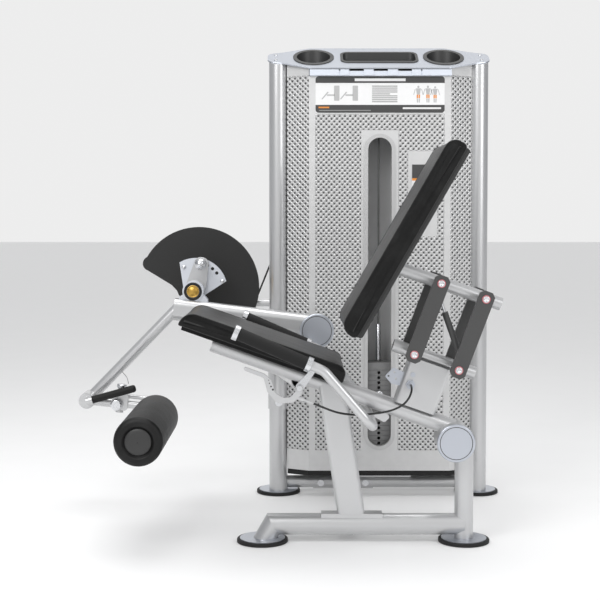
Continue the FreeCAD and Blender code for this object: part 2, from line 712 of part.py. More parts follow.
# ---- cam, start plate and axle ----
def cam():
    parts["cam_axle"] = fuse(disc(PIVOT, 385, 678, AXLE_R), disc(PIVOT, 506, CAM_Y - CAM_T / 2, 28))
    px, pz = PIVOT
    half = CAM_T / 2
    right = polar(PIVOT, CAM_R, -24)
    top = polar(PIVOT, CAM_R, 66)
    left = polar(PIVOT, CAM_R, 150)
    arc = Part.Arc(flat((right.x, right.z), CAM_Y - half), flat((top.x, top.z), CAM_Y - half),
                   flat((left.x, left.z), CAM_Y - half)).toShape()
    left_nose = [flat((px + dx, pz + dz), CAM_Y - half) for dx, dz in ((-190, 70), (-176, 57))]
    nose = Part.Arc(flat((left.x, left.z), CAM_Y - half), left_nose[0], left_nose[1]).toShape()
    rest = [(-176, 57), (-94, 7), (-76, -12), (-69, -28.5), (-38, -52), (right.x - px, right.z - pz)]
    points = [flat((px + dx, pz + dz), CAM_Y - half) for dx, dz in rest]
    lines = [Part.LineSegment(points[n], points[n + 1]).toShape() for n in range(len(points) - 1)]
    wire = Part.Wire([arc, nose] + lines)
    plate = Part.Face(wire).extrude(V(0, CAM_T, 0))
    groove = ring(PIVOT, CAM_Y - 3.6, CAM_Y + 3.6, CAM_R + 20, GROOVE_R)
    plate = plate.cut(groove).cut(disc(PIVOT, 600, 700, AXLE_R))
    parts["cam_disc"] = largest(plate)

    rim0, rim1, rim2 = (polar(PIVOT, SELECTOR_R, angle, 497) for angle in (15, 68, 121))
    low_left = V(px - 40, 497, pz - 2)
    low_mid = V(px + 22, 497, pz - 24)
    outline = [Part.Arc(rim0, rim1, rim2).toShape(), Part.LineSegment(rim2, low_left).toShape(),
               Part.Arc(low_left, V(px - 12, 497, pz - 34), low_mid).toShape(),
               Part.LineSegment(low_mid, rim0).toShape()]
    sector = Part.Face(Part.Wire(outline)).extrude(V(0, 8, 0)).cut(disc(PIVOT, 480, 520, AXLE_R))
    for angle in SELECTOR_ANGLES:
        hole = polar(PIVOT, SELECTOR_HOLE_R, angle)
        sector = sector.cut(disc((hole.x, hole.z), 490, 510, 5.6))
    parts["selector_plate"] = sector


cam()


# ---- lever arm ----
def ankle_way():
    return (flat(ROLLER_AXIS) - flat(LEVER_HUB)).normalize()


def ankle_point(distance, lift=0.0, y=0.0):
    way = ankle_way()
    point = flat(LEVER_HUB) + way * distance + V(-way.z, 0, way.x) * lift
    return V(point.x, y, point.z)


def lever():
    hub_outer = disc(LEVER_HUB, LEVER_HUB_Y[0], LEVER_HUB_Y[1], LEVER_HUB_R)
    hub = hub_outer
    eye_outer = disc(PIVOT, 440, 484, 31)
    arm = tube(flat(LEVER_HUB, LEVER_Y), flat(PIVOT, LEVER_Y), LEVER_R).cut(hub_outer).cut(eye_outer)
    pin = polar(PIVOT, SELECTOR_HOLE_R, START_ANGLE)
    side = V(math.sin(math.radians(START_ANGLE)), 0, -math.cos(math.radians(START_ANGLE)))
    base0 = flat(PIVOT) - side * 34 + V(0, 0, 4)
    base1 = flat(PIVOT) + side * 34 + V(0, 0, 2)
    crown = pin + V(math.cos(math.radians(START_ANGLE)), 0, math.sin(math.radians(START_ANGLE))) * PIN_ARM_R
    corners = [base0, base1, crown + side * PIN_ARM_R, crown - side * PIN_ARM_R]
    plate = prism([(p.x, p.z) for p in corners], [12, 12, 20, 20], 484.4, 493.5)
    low_ring = disc(PIVOT, 484, 493.5, 31)
    body = fuse(eye_outer, largest(arm), plate, low_ring, hub)
    body = body.cut(disc(PIVOT, 430, 500, AXLE_R + RUN_GAP)).cut(disc((pin.x, pin.z), 470, 500, 5 + RUN_GAP))
    parts["lever_arm"] = body

    outer_end = CLAMP_AT[0] + 10
    sleeve = rod(ankle_point(LEVER_HUB_R - 4, 0, ANKLE_Y), ankle_point(outer_end, 0, ANKLE_Y), ANKLE_R + 3)
    sleeve = sleeve.cut(hub_outer)
    block_corners = [ankle_point(d, lift) for d, lift in ((CLAMP_AT[0], -19), (CLAMP_AT[1], -19),
                                                         (CLAMP_AT[1], 38), (CLAMP_AT[0], 38))]
    block = prism([(p.x, p.z) for p in block_corners], 9, ANKLE_Y - 18, ANKLE_Y + 18)
    boss = rod(ankle_point(106, -28, ANKLE_Y), ankle_point(106, -16, ANKLE_Y), 13)
    head = rod(ankle_point(106, 36, ANKLE_Y), ankle_point(106, 50, ANKLE_Y), 12)
    near = rod(ankle_point(98, 0, ANKLE_Y - 26), ankle_point(98, 0, ANKLE_Y - 14), 12)
    clamp = fuse(sleeve, block, boss, head, near)
    clamp = clamp.cut(rod(ankle_point(22, 0, ANKLE_Y), ankle_point(220, 0, ANKLE_Y), ANKLE_R + RUN_GAP))
    clamp = clamp.cut(rod(ankle_point(22, ANKLE_GUIDE_LIFT, ANKLE_Y),
                          ankle_point(220, ANKLE_GUIDE_LIFT, ANKLE_Y), 7 + RUN_GAP))
    clamp = clamp.cut(rod(ankle_point(106, 34.2, ANKLE_Y), ankle_point(106, 60, ANKLE_Y), 4 + RUN_GAP))
    clamp = clamp.cut(rod(ankle_point(98, 0, ANKLE_Y - 40), ankle_point(98, 0, ANKLE_Y - 12.8), 5 + RUN_GAP))
    parts["ankle_clamp"] = largest(clamp)

    drawn = V(0, -START_PIN_DRAWN, 0)
    knob_at = pin + drawn + V(0, 459, 0)
    ball = Part.makeSphere(19.5, knob_at)
    stem = rod(pin + drawn + V(0, 470, 0), pin + drawn + V(0, 504, 0), 5)
    neck = rod(pin + drawn + V(0, 470, 0), pin + drawn + V(0, 478, 0), 10)
    parts["start_pin"] = fuse(ball, neck, stem)

    grip_start = V(LEVER_HUB[0] + 8, 384, LEVER_HUB[1] + 2)
    grip_end = V(-530, 384, 396)
    way = (grip_end - grip_start).normalize()
    socket = rod(grip_start - way * 6, grip_start + way * 14, 14)
    stub_x, stub_z = LEVER_HUB[0] + 10, LEVER_HUB[1] + 2
    stub = rod(V(stub_x, 381, stub_z), V(stub_x, LEVER_HUB_Y[0], stub_z), 8)
    parts["lever_arm"] = group(body, fuse(socket, stub).cut(hub_outer))
    grip = rod(grip_start + way * 14, grip_end, 12)
    tip = [edge for edge in grip.Edges if edge.BoundBox.XMin > -545 and edge.Length > 60]
    parts["adjust_grip"] = grip.makeFillet(8, tip[:1]) if tip else grip


lever()


# ---- ankle bar and roller ----
ROLLER_DISTANCE = flat(LEVER_HUB).distanceToPoint(flat(ROLLER_AXIS))


def ankle():
    bar = rod(ankle_point(34, 0, ANKLE_Y), ankle_point(ROLLER_DISTANCE, 0, ANKLE_Y), ANKLE_R)
    guide = rod(ankle_point(58, ANKLE_GUIDE_LIFT, ANKLE_Y), ankle_point(214, ANKLE_GUIDE_LIFT, ANKLE_Y), 7)
    hub = disc(ROLLER_AXIS, ANKLE_Y - 22, ANKLE_Y + 22, 20)
    web_corners = [ankle_point(205, 0), ankle_point(232, 0), ankle_point(232, 16), ankle_point(205, 30)]
    web = prism([(p.x, p.z) for p in web_corners], 0, ANKLE_Y - 4, ANKLE_Y + 4)
    shaft = disc(ROLLER_AXIS, ROLLER_Y[0] + 8, ANKLE_Y, 12)
    stop = disc(ROLLER_AXIS, ROLLER_Y[1] + 3, ROLLER_Y[1] + 15, 24)
    parts["ankle_bar"] = fuse(bar, guide, hub, web, shaft, stop)

    foam = disc(ROLLER_AXIS, ROLLER_Y[0], ROLLER_Y[1], ROLLER_R)
    ends = [edge for edge in foam.Edges if edge.Length > 400]
    foam = foam.makeFillet(7, ends)
    recess = disc(ROLLER_AXIS, ROLLER_Y[0] - 1, ROLLER_Y[0] + 12, 43)
    foam = foam.cut(recess).cut(disc(ROLLER_AXIS, ROLLER_Y[0] - 5, ROLLER_Y[1] + 5, 12 + RUN_GAP))
    cap = disc(ROLLER_AXIS, ROLLER_Y[0] - 1, ROLLER_Y[0] + 7, 39)
    rim = [edge for edge in cap.Edges if edge.BoundBox.YMax < ROLLER_Y[0] and edge.Length > 200]
    cap = cap.makeFillet(6, rim)
    skirt = ring(ROLLER_AXIS, ROLLER_Y[0] + 7, ROLLER_Y[0] + 12, 42.9, 12 + RUN_GAP)
    parts["roller"] = group(foam, fuse(cap, skirt))

    top = ankle_point(106, 50.4, ANKLE_Y)
    way = V(-ankle_way().z, 0, ankle_way().x)
    pin = rod(ankle_point(106, 34.6, ANKLE_Y), top + way * 4, 4)
    knob = rod(top, top + way * 14, 16)
    crown = [edge for edge in knob.Edges if edge.Length > 80]
    knob = knob.makeFillet(4, crown)
    parts["pop_pin"] = fuse(pin, knob)
    mushroom = rod(ankle_point(98, 0, ANKLE_Y - 42), ankle_point(98, 0, ANKLE_Y - 26.4), 18)
    mushroom = mushroom.makeFillet(5, [e for e in mushroom.Edges if e.Length > 100])
    screw = rod(ankle_point(98, 0, ANKLE_Y - 30), ankle_point(98, 0, ANKLE_Y - 13.2), 5)
    parts["clamp_knob"] = fuse(mushroom, screw)


ankle()


# ---- tower frame ----
def cable_run():
    """Lifting cable from the cam's rim to the top pulley, with the way it points."""
    leave = math.radians(CABLE_LEAVE)
    start = polar(PIVOT, CABLE_LINE_R, CABLE_LEAVE, CAM_Y)
    way = V(-math.sin(leave), 0, math.cos(leave))
    centre = V(STACK_X - PULLEY_LINE_R, CAM_Y, PULLEY_Z)
    reach = (centre - start).dot(way)
    return start, start + way * reach, way


def tower_frame():
    start, _, way = cable_run()
    columns = []
    for x in (COLUMN_LEFT_X, COLUMN_RIGHT_X):
        column = column_solid(x, 0, FOOT_TOP, 1600).cut(column_solid(x, -WALL, 0, 1700))
        columns.append(largest(column.common(under_top(0))))
    side = V(way.z, 0, -way.x)
    slot_start = start + way * 100
    corners = [slot_start - side * 14, slot_start + side * 14]
    corners += [corners[1] + way * 280, corners[0] + way * 280]
    slot = prism([(p.x, p.z) for p in corners], 0, CAM_Y - 7, CAM_Y + 7)
    columns[0] = columns[0].cut(slot)
    parts["tower_columns"] = group(*columns)

    sleeve_start, sleeve_end = V(45, TOWER_Y, 36), V(251, TOWER_Y, 36)
    connector = tube(V(147, 0, 38), V(147, TOWER_Y, 38), 21).cut(rod(sleeve_start, sleeve_end, 23.4))
    connector = connector.cut(rod(BASE_LEFT, BASE_RIGHT, BASE_R))
    sleeve = rod(sleeve_start, sleeve_end, 24).cut(rod(sleeve_start, sleeve_end, 21))
    parts["connector_tube"] = fuse(max(connector.Solids, key=lambda s: s.BoundBox.YMax), sleeve)

    oval = [column_solid(x, 0, 0, 1600) for x in (COLUMN_LEFT_X, COLUMN_RIGHT_X)]
    lower = tube(V(COLUMN_LEFT_X, TOWER_Y, 36), V(COLUMN_RIGHT_X, TOWER_Y, 36), 21)
    lower = largest(lower.cut(oval[0]).cut(oval[1]))
    upper = box(COLUMN_LEFT_X, COLUMN_RIGHT_X, 660, 680, 1382, 1412)
    upper = upper.cut(box(COLUMN_LEFT_X, COLUMN_RIGHT_X, 663, 677, 1385, 1409))
    upper = largest(upper.cut(oval[0]).cut(oval[1]))
    cheeks = []
    pulley = (STACK_X - PULLEY_LINE_R, PULLEY_Z)
    for y in (CAM_Y - 20, CAM_Y + 16):
        cheek = box(pulley[0] - 18, pulley[0] + 18, y, y + 4, PULLEY_Z - 18, 1422)
        cheek = fuse(cheek, box(pulley[0] - 18, pulley[0] + 18, y, 680, 1418, 1422),
                     box(pulley[0] - 18, pulley[0] + 18, 660, 680, 1411, 1419))
        cheeks.append(cheek)
    axle = disc(pulley, CAM_Y - 22, CAM_Y + 22, 8)
    hanger = fuse(*cheeks, axle)
    parts["tower_crossbeams"] = group(lower, fuse(upper, hanger))

    bolts = []
    for x in (71, 224):
        bolts.append(disc((x, 36), TOWER_Y - 27, TOWER_Y - 19, 6))
        bolts[-1] = fuse(bolts[-1], disc((x, 36), TOWER_Y - 31, TOWER_Y - 24, 11))
    bolt_y = TOWER_Y - COLUMN_HALF_Y
    bolts.append(fuse(disc((COLUMN_LEFT_X + 2, 316), bolt_y - 10, bolt_y - 3.5, 9),
                      disc((COLUMN_LEFT_X + 2, 316), bolt_y - 7, bolt_y - 3.6, 12)))
    bolts = [largest(bolt.cut(parts["connector_tube"]).cut(parts["transverse_tube"])) for bolt in bolts]
    parts["frame_bolts"] = group(*bolts)


tower_frame()


# ---- shrouds ----
def slot_outline(grow, y0, y1):
    half = SLOT_HALF_X + grow
    corners = [(SLOT_X - half, SLOT_Z[0] - grow), (SLOT_X + half, SLOT_Z[0] - grow),
               (SLOT_X + half, SLOT_Z[1] + grow), (SLOT_X - half, SLOT_Z[1] + grow)]
    return prism(corners, half - 0.01, y0, y1)


def shrouds():
    front = box(PANEL_X[0], PANEL_X[1], PANEL_FRONT_Y, PANEL_FRONT_Y + PANEL_T, PANEL_Z[0], PANEL_Z[1])
    parts["front_panel"] = front.cut(slot_outline(BEZEL_T - 4, PANEL_FRONT_Y - 5, PANEL_FRONT_Y + 10))
    bezel = slot_outline(BEZEL_T, PANEL_FRONT_Y - BEZEL_PROUD, PANEL_FRONT_Y)
    liner = slot_outline(BEZEL_T - 4.2, PANEL_FRONT_Y, PANEL_FRONT_Y + 14)
    opening = slot_outline(0, PANEL_FRONT_Y - 20, PANEL_FRONT_Y + 30)
    parts["slot_bezel"] = fuse(bezel, liner).cut(opening)
    rear = box(PANEL_X[0], PANEL_X[1], PANEL_REAR_Y - PANEL_T, PANEL_REAR_Y, PANEL_Z[0], 1600)
    parts["rear_panel"] = rear.common(under_top(2))
    sides = []
    reach_x, reach_y = SIDE_REACH
    for rear_side in (False, True):
        for sign in (-1, 1):
            edge_x = PANEL_X[0] if sign < 0 else PANEL_X[1]
            y_in = PANEL_REAR_Y if rear_side else PANEL_FRONT_Y
            inward = -1 if rear_side else 1
            far_x, far_y = edge_x + sign * reach_x, y_in + inward * reach_y
            outline = [(edge_x, y_in), (far_x, far_y), (far_x, far_y + inward * PANEL_T * 1.1),
                       (edge_x, y_in + inward * PANEL_T * 1.1)]
            panel = plan_prism(outline, 0, PANEL_Z[0], 1600).common(under_top(2))
            oval_x = COLUMN_LEFT_X if sign < 0 else COLUMN_RIGHT_X
            panel = panel.cut(column_solid(oval_x, 0, 0, 1700))
            if sign < 0:
                panel = panel.cut(column_solid(oval_x, 4.3, 291.5, 470.5))
            sides.append(largest(panel))
    parts["side_panels"] = group(*sides)


shrouds()


def placards():
    board = box(52, 484, PANEL_FRONT_Y - 1.5, PANEL_FRONT_Y, 1296, 1417)
    label = box(376, 436, PANEL_FRONT_Y - 1, PANEL_FRONT_Y, 925, 1123)
    parts["placards"] = group(board, label)
    strip_y = (TOP_FRONT_Y, PANEL_FRONT_Y)
    pieces = [box(32, 130, strip_y[0], strip_y[0] + 3, 1419, 1439),
              box(408, 506, strip_y[0], strip_y[0] + 3, 1419, 1439)]
    tall = ((134, 164), (213, 246), (293, 327), (373, 404))
    for x0, x1 in tall:
        pieces.append(box(x0, x1, strip_y[0], strip_y[0] + 3, 1419, 1439))
    pieces.append(box(32, 506, strip_y[0] + 3, strip_y[1] + PANEL_T, 1418.2, 1434))
    parts["trim_strip"] = fuse(*pieces)


placards()


def tilted(z_offset, thickness):
    """A slab parallel to the top plate, covering the whole tower."""
    return under_top(-z_offset - thickness).cut(under_top(-z_offset))


def top_outline():
    mid = (COLUMN_LEFT_X + COLUMN_RIGHT_X) / 2
    front = [(33, TOP_FRONT_Y), (-62, 601), (-110, 614)]
    rear = [(x, 2 * TOWER_Y - y) for x, y in reversed(front)]
    left = front + rear
    right = [(2 * mid - x, y) for x, y in reversed(left)]
    return plan_prism(left + right, [8, 60, 28, 28, 60, 8] * 2, 1300, 1800)


def top():
    plate = top_outline().common(tilted(0.2, TOP_T))
    holes = [rod(V(x, TOWER_Y, 1300), V(x, TOWER_Y, 1700), CUP_R + 5) for x in CUP_X]
    tray_hole = plan_prism([(TRAY_X[0], TRAY_Y[0]), (TRAY_X[1], TRAY_Y[0]), (TRAY_X[1], TRAY_Y[1]),
                            (TRAY_X[0], TRAY_Y[1])], 26, 1300, 1700)
    inner_hole = plan_prism([(TRAY_X[0] + 9, TRAY_Y[0] + 8), (TRAY_X[1] - 9, TRAY_Y[0] + 8),
                             (TRAY_X[1] - 9, TRAY_Y[1] - 8), (TRAY_X[0] + 9, TRAY_Y[1] - 8)], 20, 1300, 1700)
    cutter = plan_prism([(TRAY_X[0] + 5, TRAY_Y[0] + 5), (TRAY_X[1] - 5, TRAY_Y[0] + 5),
                         (TRAY_X[1] - 5, TRAY_Y[1] - 5), (TRAY_X[0] + 5, TRAY_Y[1] - 5)], 23, 1300, 1700)
    for hole in holes:
        plate = plate.cut(hole)
    parts["top_plate"] = largest(plate.cut(cutter))
    cups = []
    for x in CUP_X:
        rim = rod(V(x, TOWER_Y, 1300), V(x, TOWER_Y, 1700), CUP_RIM_R).common(tilted(0.2 + TOP_T, 3))
        wall = rod(V(x, TOWER_Y, 1480 - CUP_DEPTH), V(x, TOWER_Y, 1560), CUP_R + 4.8)
        wall = wall.common(under_top(-0.2 - TOP_T - 3))
        cup = fuse(rim, wall).cut(rod(V(x, TOWER_Y, 1483 - CUP_DEPTH), V(x, TOWER_Y, 1600), CUP_R))
        cups.append(cup)
    tray_rim = tray_hole.common(tilted(0.2 + TOP_T, 3)).cut(inner_hole)
    tray_body = cutter.common(tilted(-TRAY_DEPTH, TRAY_DEPTH + TOP_T + 0.4)).cut(
        inner_hole.common(tilted(-TRAY_DEPTH + 3, 60)))
    tray_body = plan_prism([(TRAY_X[0] + 5.2, TRAY_Y[0] + 5.2), (TRAY_X[1] - 5.2, TRAY_Y[0] + 5.2),
                            (TRAY_X[1] - 5.2, TRAY_Y[1] - 5.2), (TRAY_X[0] + 5.2, TRAY_Y[1] - 5.2)],
                           22.8, 1300, 1700).common(tray_body)
    tray = fuse(tray_rim, tray_body)
    parts["cup_holders_and_tray"] = group(*cups, largest(tray))
    screws = []
    for x in (COLUMN_LEFT_X - 8, COLUMN_RIGHT_X + 8):
        for y in (TOWER_Y - 22, TOWER_Y + 22):
            head = rod(V(x, y, 1300), V(x, y, 1700), 5).common(tilted(0.2 + TOP_T, 2.5))
            screws.append(head)
    parts["frame_bolts"] = group(parts["frame_bolts"], *screws)


top()


# ---- weight stack ----
def stack_plate(z, thickness, bottom_bore):
    plate = box(STACK_X - STACK_HALF_X, STACK_X + STACK_HALF_X, CAM_Y - STACK_HALF_Y, CAM_Y + STACK_HALF_Y,
                z, z + thickness)
    upright = [e for e in plate.Edges if abs(e.Length - thickness) < 1e-3 and e.BoundBox.ZLength > 1]
    plate = plate.makeFillet(6, upright)
    for side in (-1, 1):
        x = STACK_X + side * GUIDE_OFFSET
        plate = plate.cut(rod(V(x, CAM_Y, z - 1), V(x, CAM_Y, z + thickness + 1), GUIDE_R + 0.5))
    if bottom_bore:
        plate = plate.cut(rod(V(STACK_X, CAM_Y, z - 1), V(STACK_X, CAM_Y, z + thickness + 1), STEM_R + 0.5))
    return plate


def weight_stack():
    lifted = []
    resting = []
    first_lifted = PLATE_COUNT - LIFTED_COUNT
    for index in range(PLATE_COUNT):
        z = STACK_FLOOR + index * PLATE_PITCH
        plate = stack_plate(z, PLATE_T, True)
        hole = rod(V(STACK_X, CAM_Y - STACK_HALF_Y - 1, z + PLATE_T / 2),
                   V(STACK_X, CAM_Y + STEM_R + 1, z + PLATE_T / 2), 5.5)
        plate = plate.cut(hole)
        if index >= first_lifted:
            lifted.append(plate)
        else:
            resting.append(plate)
    parts["stack_plates_resting"] = group(*resting)
    head_z = STACK_FLOOR + PLATE_COUNT * PLATE_PITCH
    pin_z = STACK_FLOOR + first_lifted * PLATE_PITCH + PLATE_T / 2
    stem = rod(V(STACK_X, CAM_Y, pin_z - 14), V(STACK_X, CAM_Y, STEM_TOP), STEM_R)
    head = fuse(stack_plate(head_z, HEAD_T, False), stem)
    bore = rod(V(STACK_X, CAM_Y - 20, pin_z), V(STACK_X, CAM_Y + 20, pin_z), 5 + RUN_GAP)
    parts["stack_lifted"] = group(head.cut(bore), *lifted)
    pin = rod(V(STACK_X, CAM_Y - 66, pin_z), V(STACK_X, CAM_Y + 8, pin_z), 5)
    knob = rod(V(STACK_X, CAM_Y - 84, pin_z), V(STACK_X, CAM_Y - 62, pin_z), 12)
    knob = knob.makeFillet(5, [e for e in knob.Edges if e.BoundBox.YMax < CAM_Y - 80 and e.Length > 60])
    parts["selector_pin"] = fuse(pin, knob)
    rods = []
    for side in (-1, 1):
        x = STACK_X + side * GUIDE_OFFSET
        rods.append(rod(V(x, CAM_Y, 60.4), V(x, CAM_Y, GUIDE_TOP), GUIDE_R))
    parts["guide_rods"] = group(*rods)
    bumpers = []
    seat = box(STACK_X - 112, STACK_X + 112, CAM_Y - 24, CAM_Y + 42, 57.4, 66)
    for side in (-1, 1):
        x = STACK_X + side * GUIDE_OFFSET
        seat = seat.cut(rod(V(x, CAM_Y, 50), V(x, CAM_Y, 70), GUIDE_R))
        bumper = rod(V(x, CAM_Y, 66), V(x, CAM_Y, STACK_FLOOR - 0.3), 24)
        bumpers.append(bumper.cut(rod(V(x, CAM_Y, 60), V(x, CAM_Y, 130), GUIDE_R)))
    seat = largest(seat.cut(rod(V(-100, TOWER_Y, 36), V(700, TOWER_Y, 36), 24)))
    parts["stack_bumpers"] = group(*bumpers)
    rail_half = GUIDE_OFFSET + 20
    rail = box(STACK_X - rail_half, STACK_X + rail_half, CAM_Y - 20, 680, GUIDE_TOP, GUIDE_TOP + 8)
    for side in (-1, 1):
        x = STACK_X + side * (GUIDE_OFFSET + 15)
        rail = fuse(rail, box(x - 4, x + 4, 662, 680, GUIDE_TOP, 1382))
    rail = rail.cut(rod(V(STACK_X, CAM_Y, 1200), V(STACK_X, CAM_Y, 1500), 8))
    parts["tower_crossbeams"] = group(parts["tower_crossbeams"], seat, rail)


weight_stack()


def lifting_cable():
    start, end, way = cable_run()
    centre = V(STACK_X - PULLEY_LINE_R, CAM_Y, PULLEY_Z)
    straight = rod(start, end, CABLE_R)
    drop = rod(V(STACK_X, CAM_Y, STEM_TOP), V(STACK_X, CAM_Y, PULLEY_Z - BODY_GAP), CABLE_R)
    halfway = centre + (end - centre + V(PULLEY_LINE_R, 0, 0)).normalize() * PULLEY_LINE_R
    arc = Part.Wire(Part.Arc(end, halfway, V(STACK_X, CAM_Y, PULLEY_Z)).toShape())
    wrap = arc.makePipeShell([Part.Wire(Part.makeCircle(CABLE_R, end, way))], True, False)
    parts["lift_cable"] = fuse(straight, wrap)
    parts["stack_cable"] = drop
    pulley = ring((centre.x, centre.z), CAM_Y - 11, CAM_Y + 11, PULLEY_R, 8 + RUN_GAP)
    groove_floor = PULLEY_LINE_R - CABLE_R - 0.5
    groove = ring((centre.x, centre.z), CAM_Y - 3.6, CAM_Y + 3.6, PULLEY_R + 5, groove_floor)
    parts["top_pulley"] = pulley.cut(groove)


lifting_cable()


# ---- free cords ----
def cord_radii(points):
    """The largest arc that each corner's two runs allow."""
    radii = [0.0]
    for before, corner, after in zip(points, points[1:], points[2:]):
        shorter = min(before.distanceToPoint(corner), corner.distanceToPoint(after))
        turn = (corner - before).getAngle(after - corner)
        radii.append(CORD_ARC_SHARE * shorter / math.tan(turn / 2))
    return radii + [0.0]


def cord(name, points, radius):
    radii = cord_radii(points)
    wire = rounded_path(points, radii, False)
    solid = bent_rod(points, radii, radius)
    parts[name] = solid
    expected = math.pi * radius ** 2 * wire.Length
    print(name, "length", round(wire.Length, 1), "radii", [round(r) for r in radii[1:-1]],
          "volume ratio", round(solid.Volume / expected, 4))


GLAND_MOUTH = V(GLAND.x, -POST_HALF_Y - 20, GLAND.z)
RELEASE_ROUTE = [
    CABLE_EXIT, CABLE_EXIT + CABLE_WAY * 27, V(100, -246, 417), V(148, -206, 404), V(200, -169, 401),
    V(250, -142, 404), V(286, -126, 416), V(306, -117, 434), V(316.5, -100, 454),
    V(GLAND.x, -78, GLAND.z), GLAND_MOUTH,
]
cord("release_cable", RELEASE_ROUTE, RELEASE_CABLE_R)

LANYARD_ROUTE = [
    V(-583.4, 450.7, 441.4), V(-577.8, 445.2, 436.0), V(-568, 438, 427.5), V(-561, 430, 416),
    V(-558.8, 424, 404),
]
cord("lanyard", LANYARD_ROUTE, LANYARD_R)


# ---- origin at the bottom centre of the bounding box ----
def bounds(shapes):
    boxes = [shape.optimalBoundingBox(False, False) for shape in shapes]
    low = V(min(b.XMin for b in boxes), min(b.YMin for b in boxes), min(b.ZMin for b in boxes))
    high = V(max(b.XMax for b in boxes), max(b.YMax for b in boxes), max(b.ZMax for b in boxes))
    return low, high


LOW, HIGH = bounds([shape for name, shape in parts.items() if name not in CORD_NODES])
SHIFT = V(-(LOW.x + HIGH.x) / 2, -(LOW.y + HIGH.y) / 2, -LOW.z)


def export():
    os.makedirs("parts", exist_ok=True)
    for name, shape in parts.items():
        moved = shape.copy()
        moved.translate(SHIFT)
        moved.exportStep("parts/" + name + ".step")
    print(len(parts), "pieces; size", HIGH - LOW, "shift", SHIFT)


export()
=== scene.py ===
"""Looks of the leg extension machine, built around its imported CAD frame."""
import json
import math

import bmesh
import bpy
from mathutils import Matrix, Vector


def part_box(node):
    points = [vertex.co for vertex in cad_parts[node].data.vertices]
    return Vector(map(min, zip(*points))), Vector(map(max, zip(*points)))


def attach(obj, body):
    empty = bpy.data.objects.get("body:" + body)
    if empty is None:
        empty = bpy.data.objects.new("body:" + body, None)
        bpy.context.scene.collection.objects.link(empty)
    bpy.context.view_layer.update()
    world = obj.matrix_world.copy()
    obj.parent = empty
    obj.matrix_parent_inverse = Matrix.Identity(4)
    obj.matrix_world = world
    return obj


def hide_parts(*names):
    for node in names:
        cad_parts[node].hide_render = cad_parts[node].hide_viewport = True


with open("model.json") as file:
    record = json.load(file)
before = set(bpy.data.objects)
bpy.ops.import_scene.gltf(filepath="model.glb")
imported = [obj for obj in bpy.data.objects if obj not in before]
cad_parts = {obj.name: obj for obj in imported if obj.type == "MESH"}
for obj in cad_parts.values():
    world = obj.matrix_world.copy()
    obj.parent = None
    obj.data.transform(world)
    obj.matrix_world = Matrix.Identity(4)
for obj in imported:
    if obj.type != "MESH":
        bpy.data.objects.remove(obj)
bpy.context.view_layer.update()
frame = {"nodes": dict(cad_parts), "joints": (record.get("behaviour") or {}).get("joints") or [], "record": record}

# ---- sizes, in metres ----
SEAT_SLOPE = math.radians(19.45)        # seat falls towards the back pad
BACK_LEAN = math.radians(29.9)          # back pad leans from upright
SEAT_RADII = (0.004, 0.004, 0.026, 0.040)
BACK_RADII = (0.014, 0.014, 0.030, 0.034)
PAD_INSET = 0.0035                      # pads start this much smaller and swell
PAD_SWELL = 0.010                       # most that a point of a pad may move
PIPING_R = 0.0012
SIDE_RINGS = 5                          # inset rings on each side face of a pad
INNER_RING = 0.60                       # how far the side faces' rings reach towards their middle line
SEAM_CREASE = 0.75
CLOTH_FRAMES = 20
HOLE_PITCH_X = 0.0177
HOLE_PITCH_Z = 0.0183
HOLE_R = 0.0030
PRINT_T = 0.0004                        # thickness of each print on a placard
LEVER_HOLES = ((-0.06625, 0.510, 0.0015), (-0.06425, 0.5015, 0.0019), (-0.06025, 0.493, 0.0023),
               (-0.05525, 0.4845, 0.0028))   # x, z, radius in the release lever


# ---- places read from the frame ----
def joint_at(name):
    return Vector(next(j["pos_m"] for j in frame["joints"] if j["name"] == name))


def local_box(node, right, up):
    """Extents of a node along two directions of the side view, and across."""
    across = Vector((0, 1, 0))
    points = [v.co for v in frame["nodes"][node].data.vertices]
    spans = []
    for axis in (right, across, up):
        values = [p.dot(axis) for p in points]
        spans.append((min(values), max(values)))
    return spans


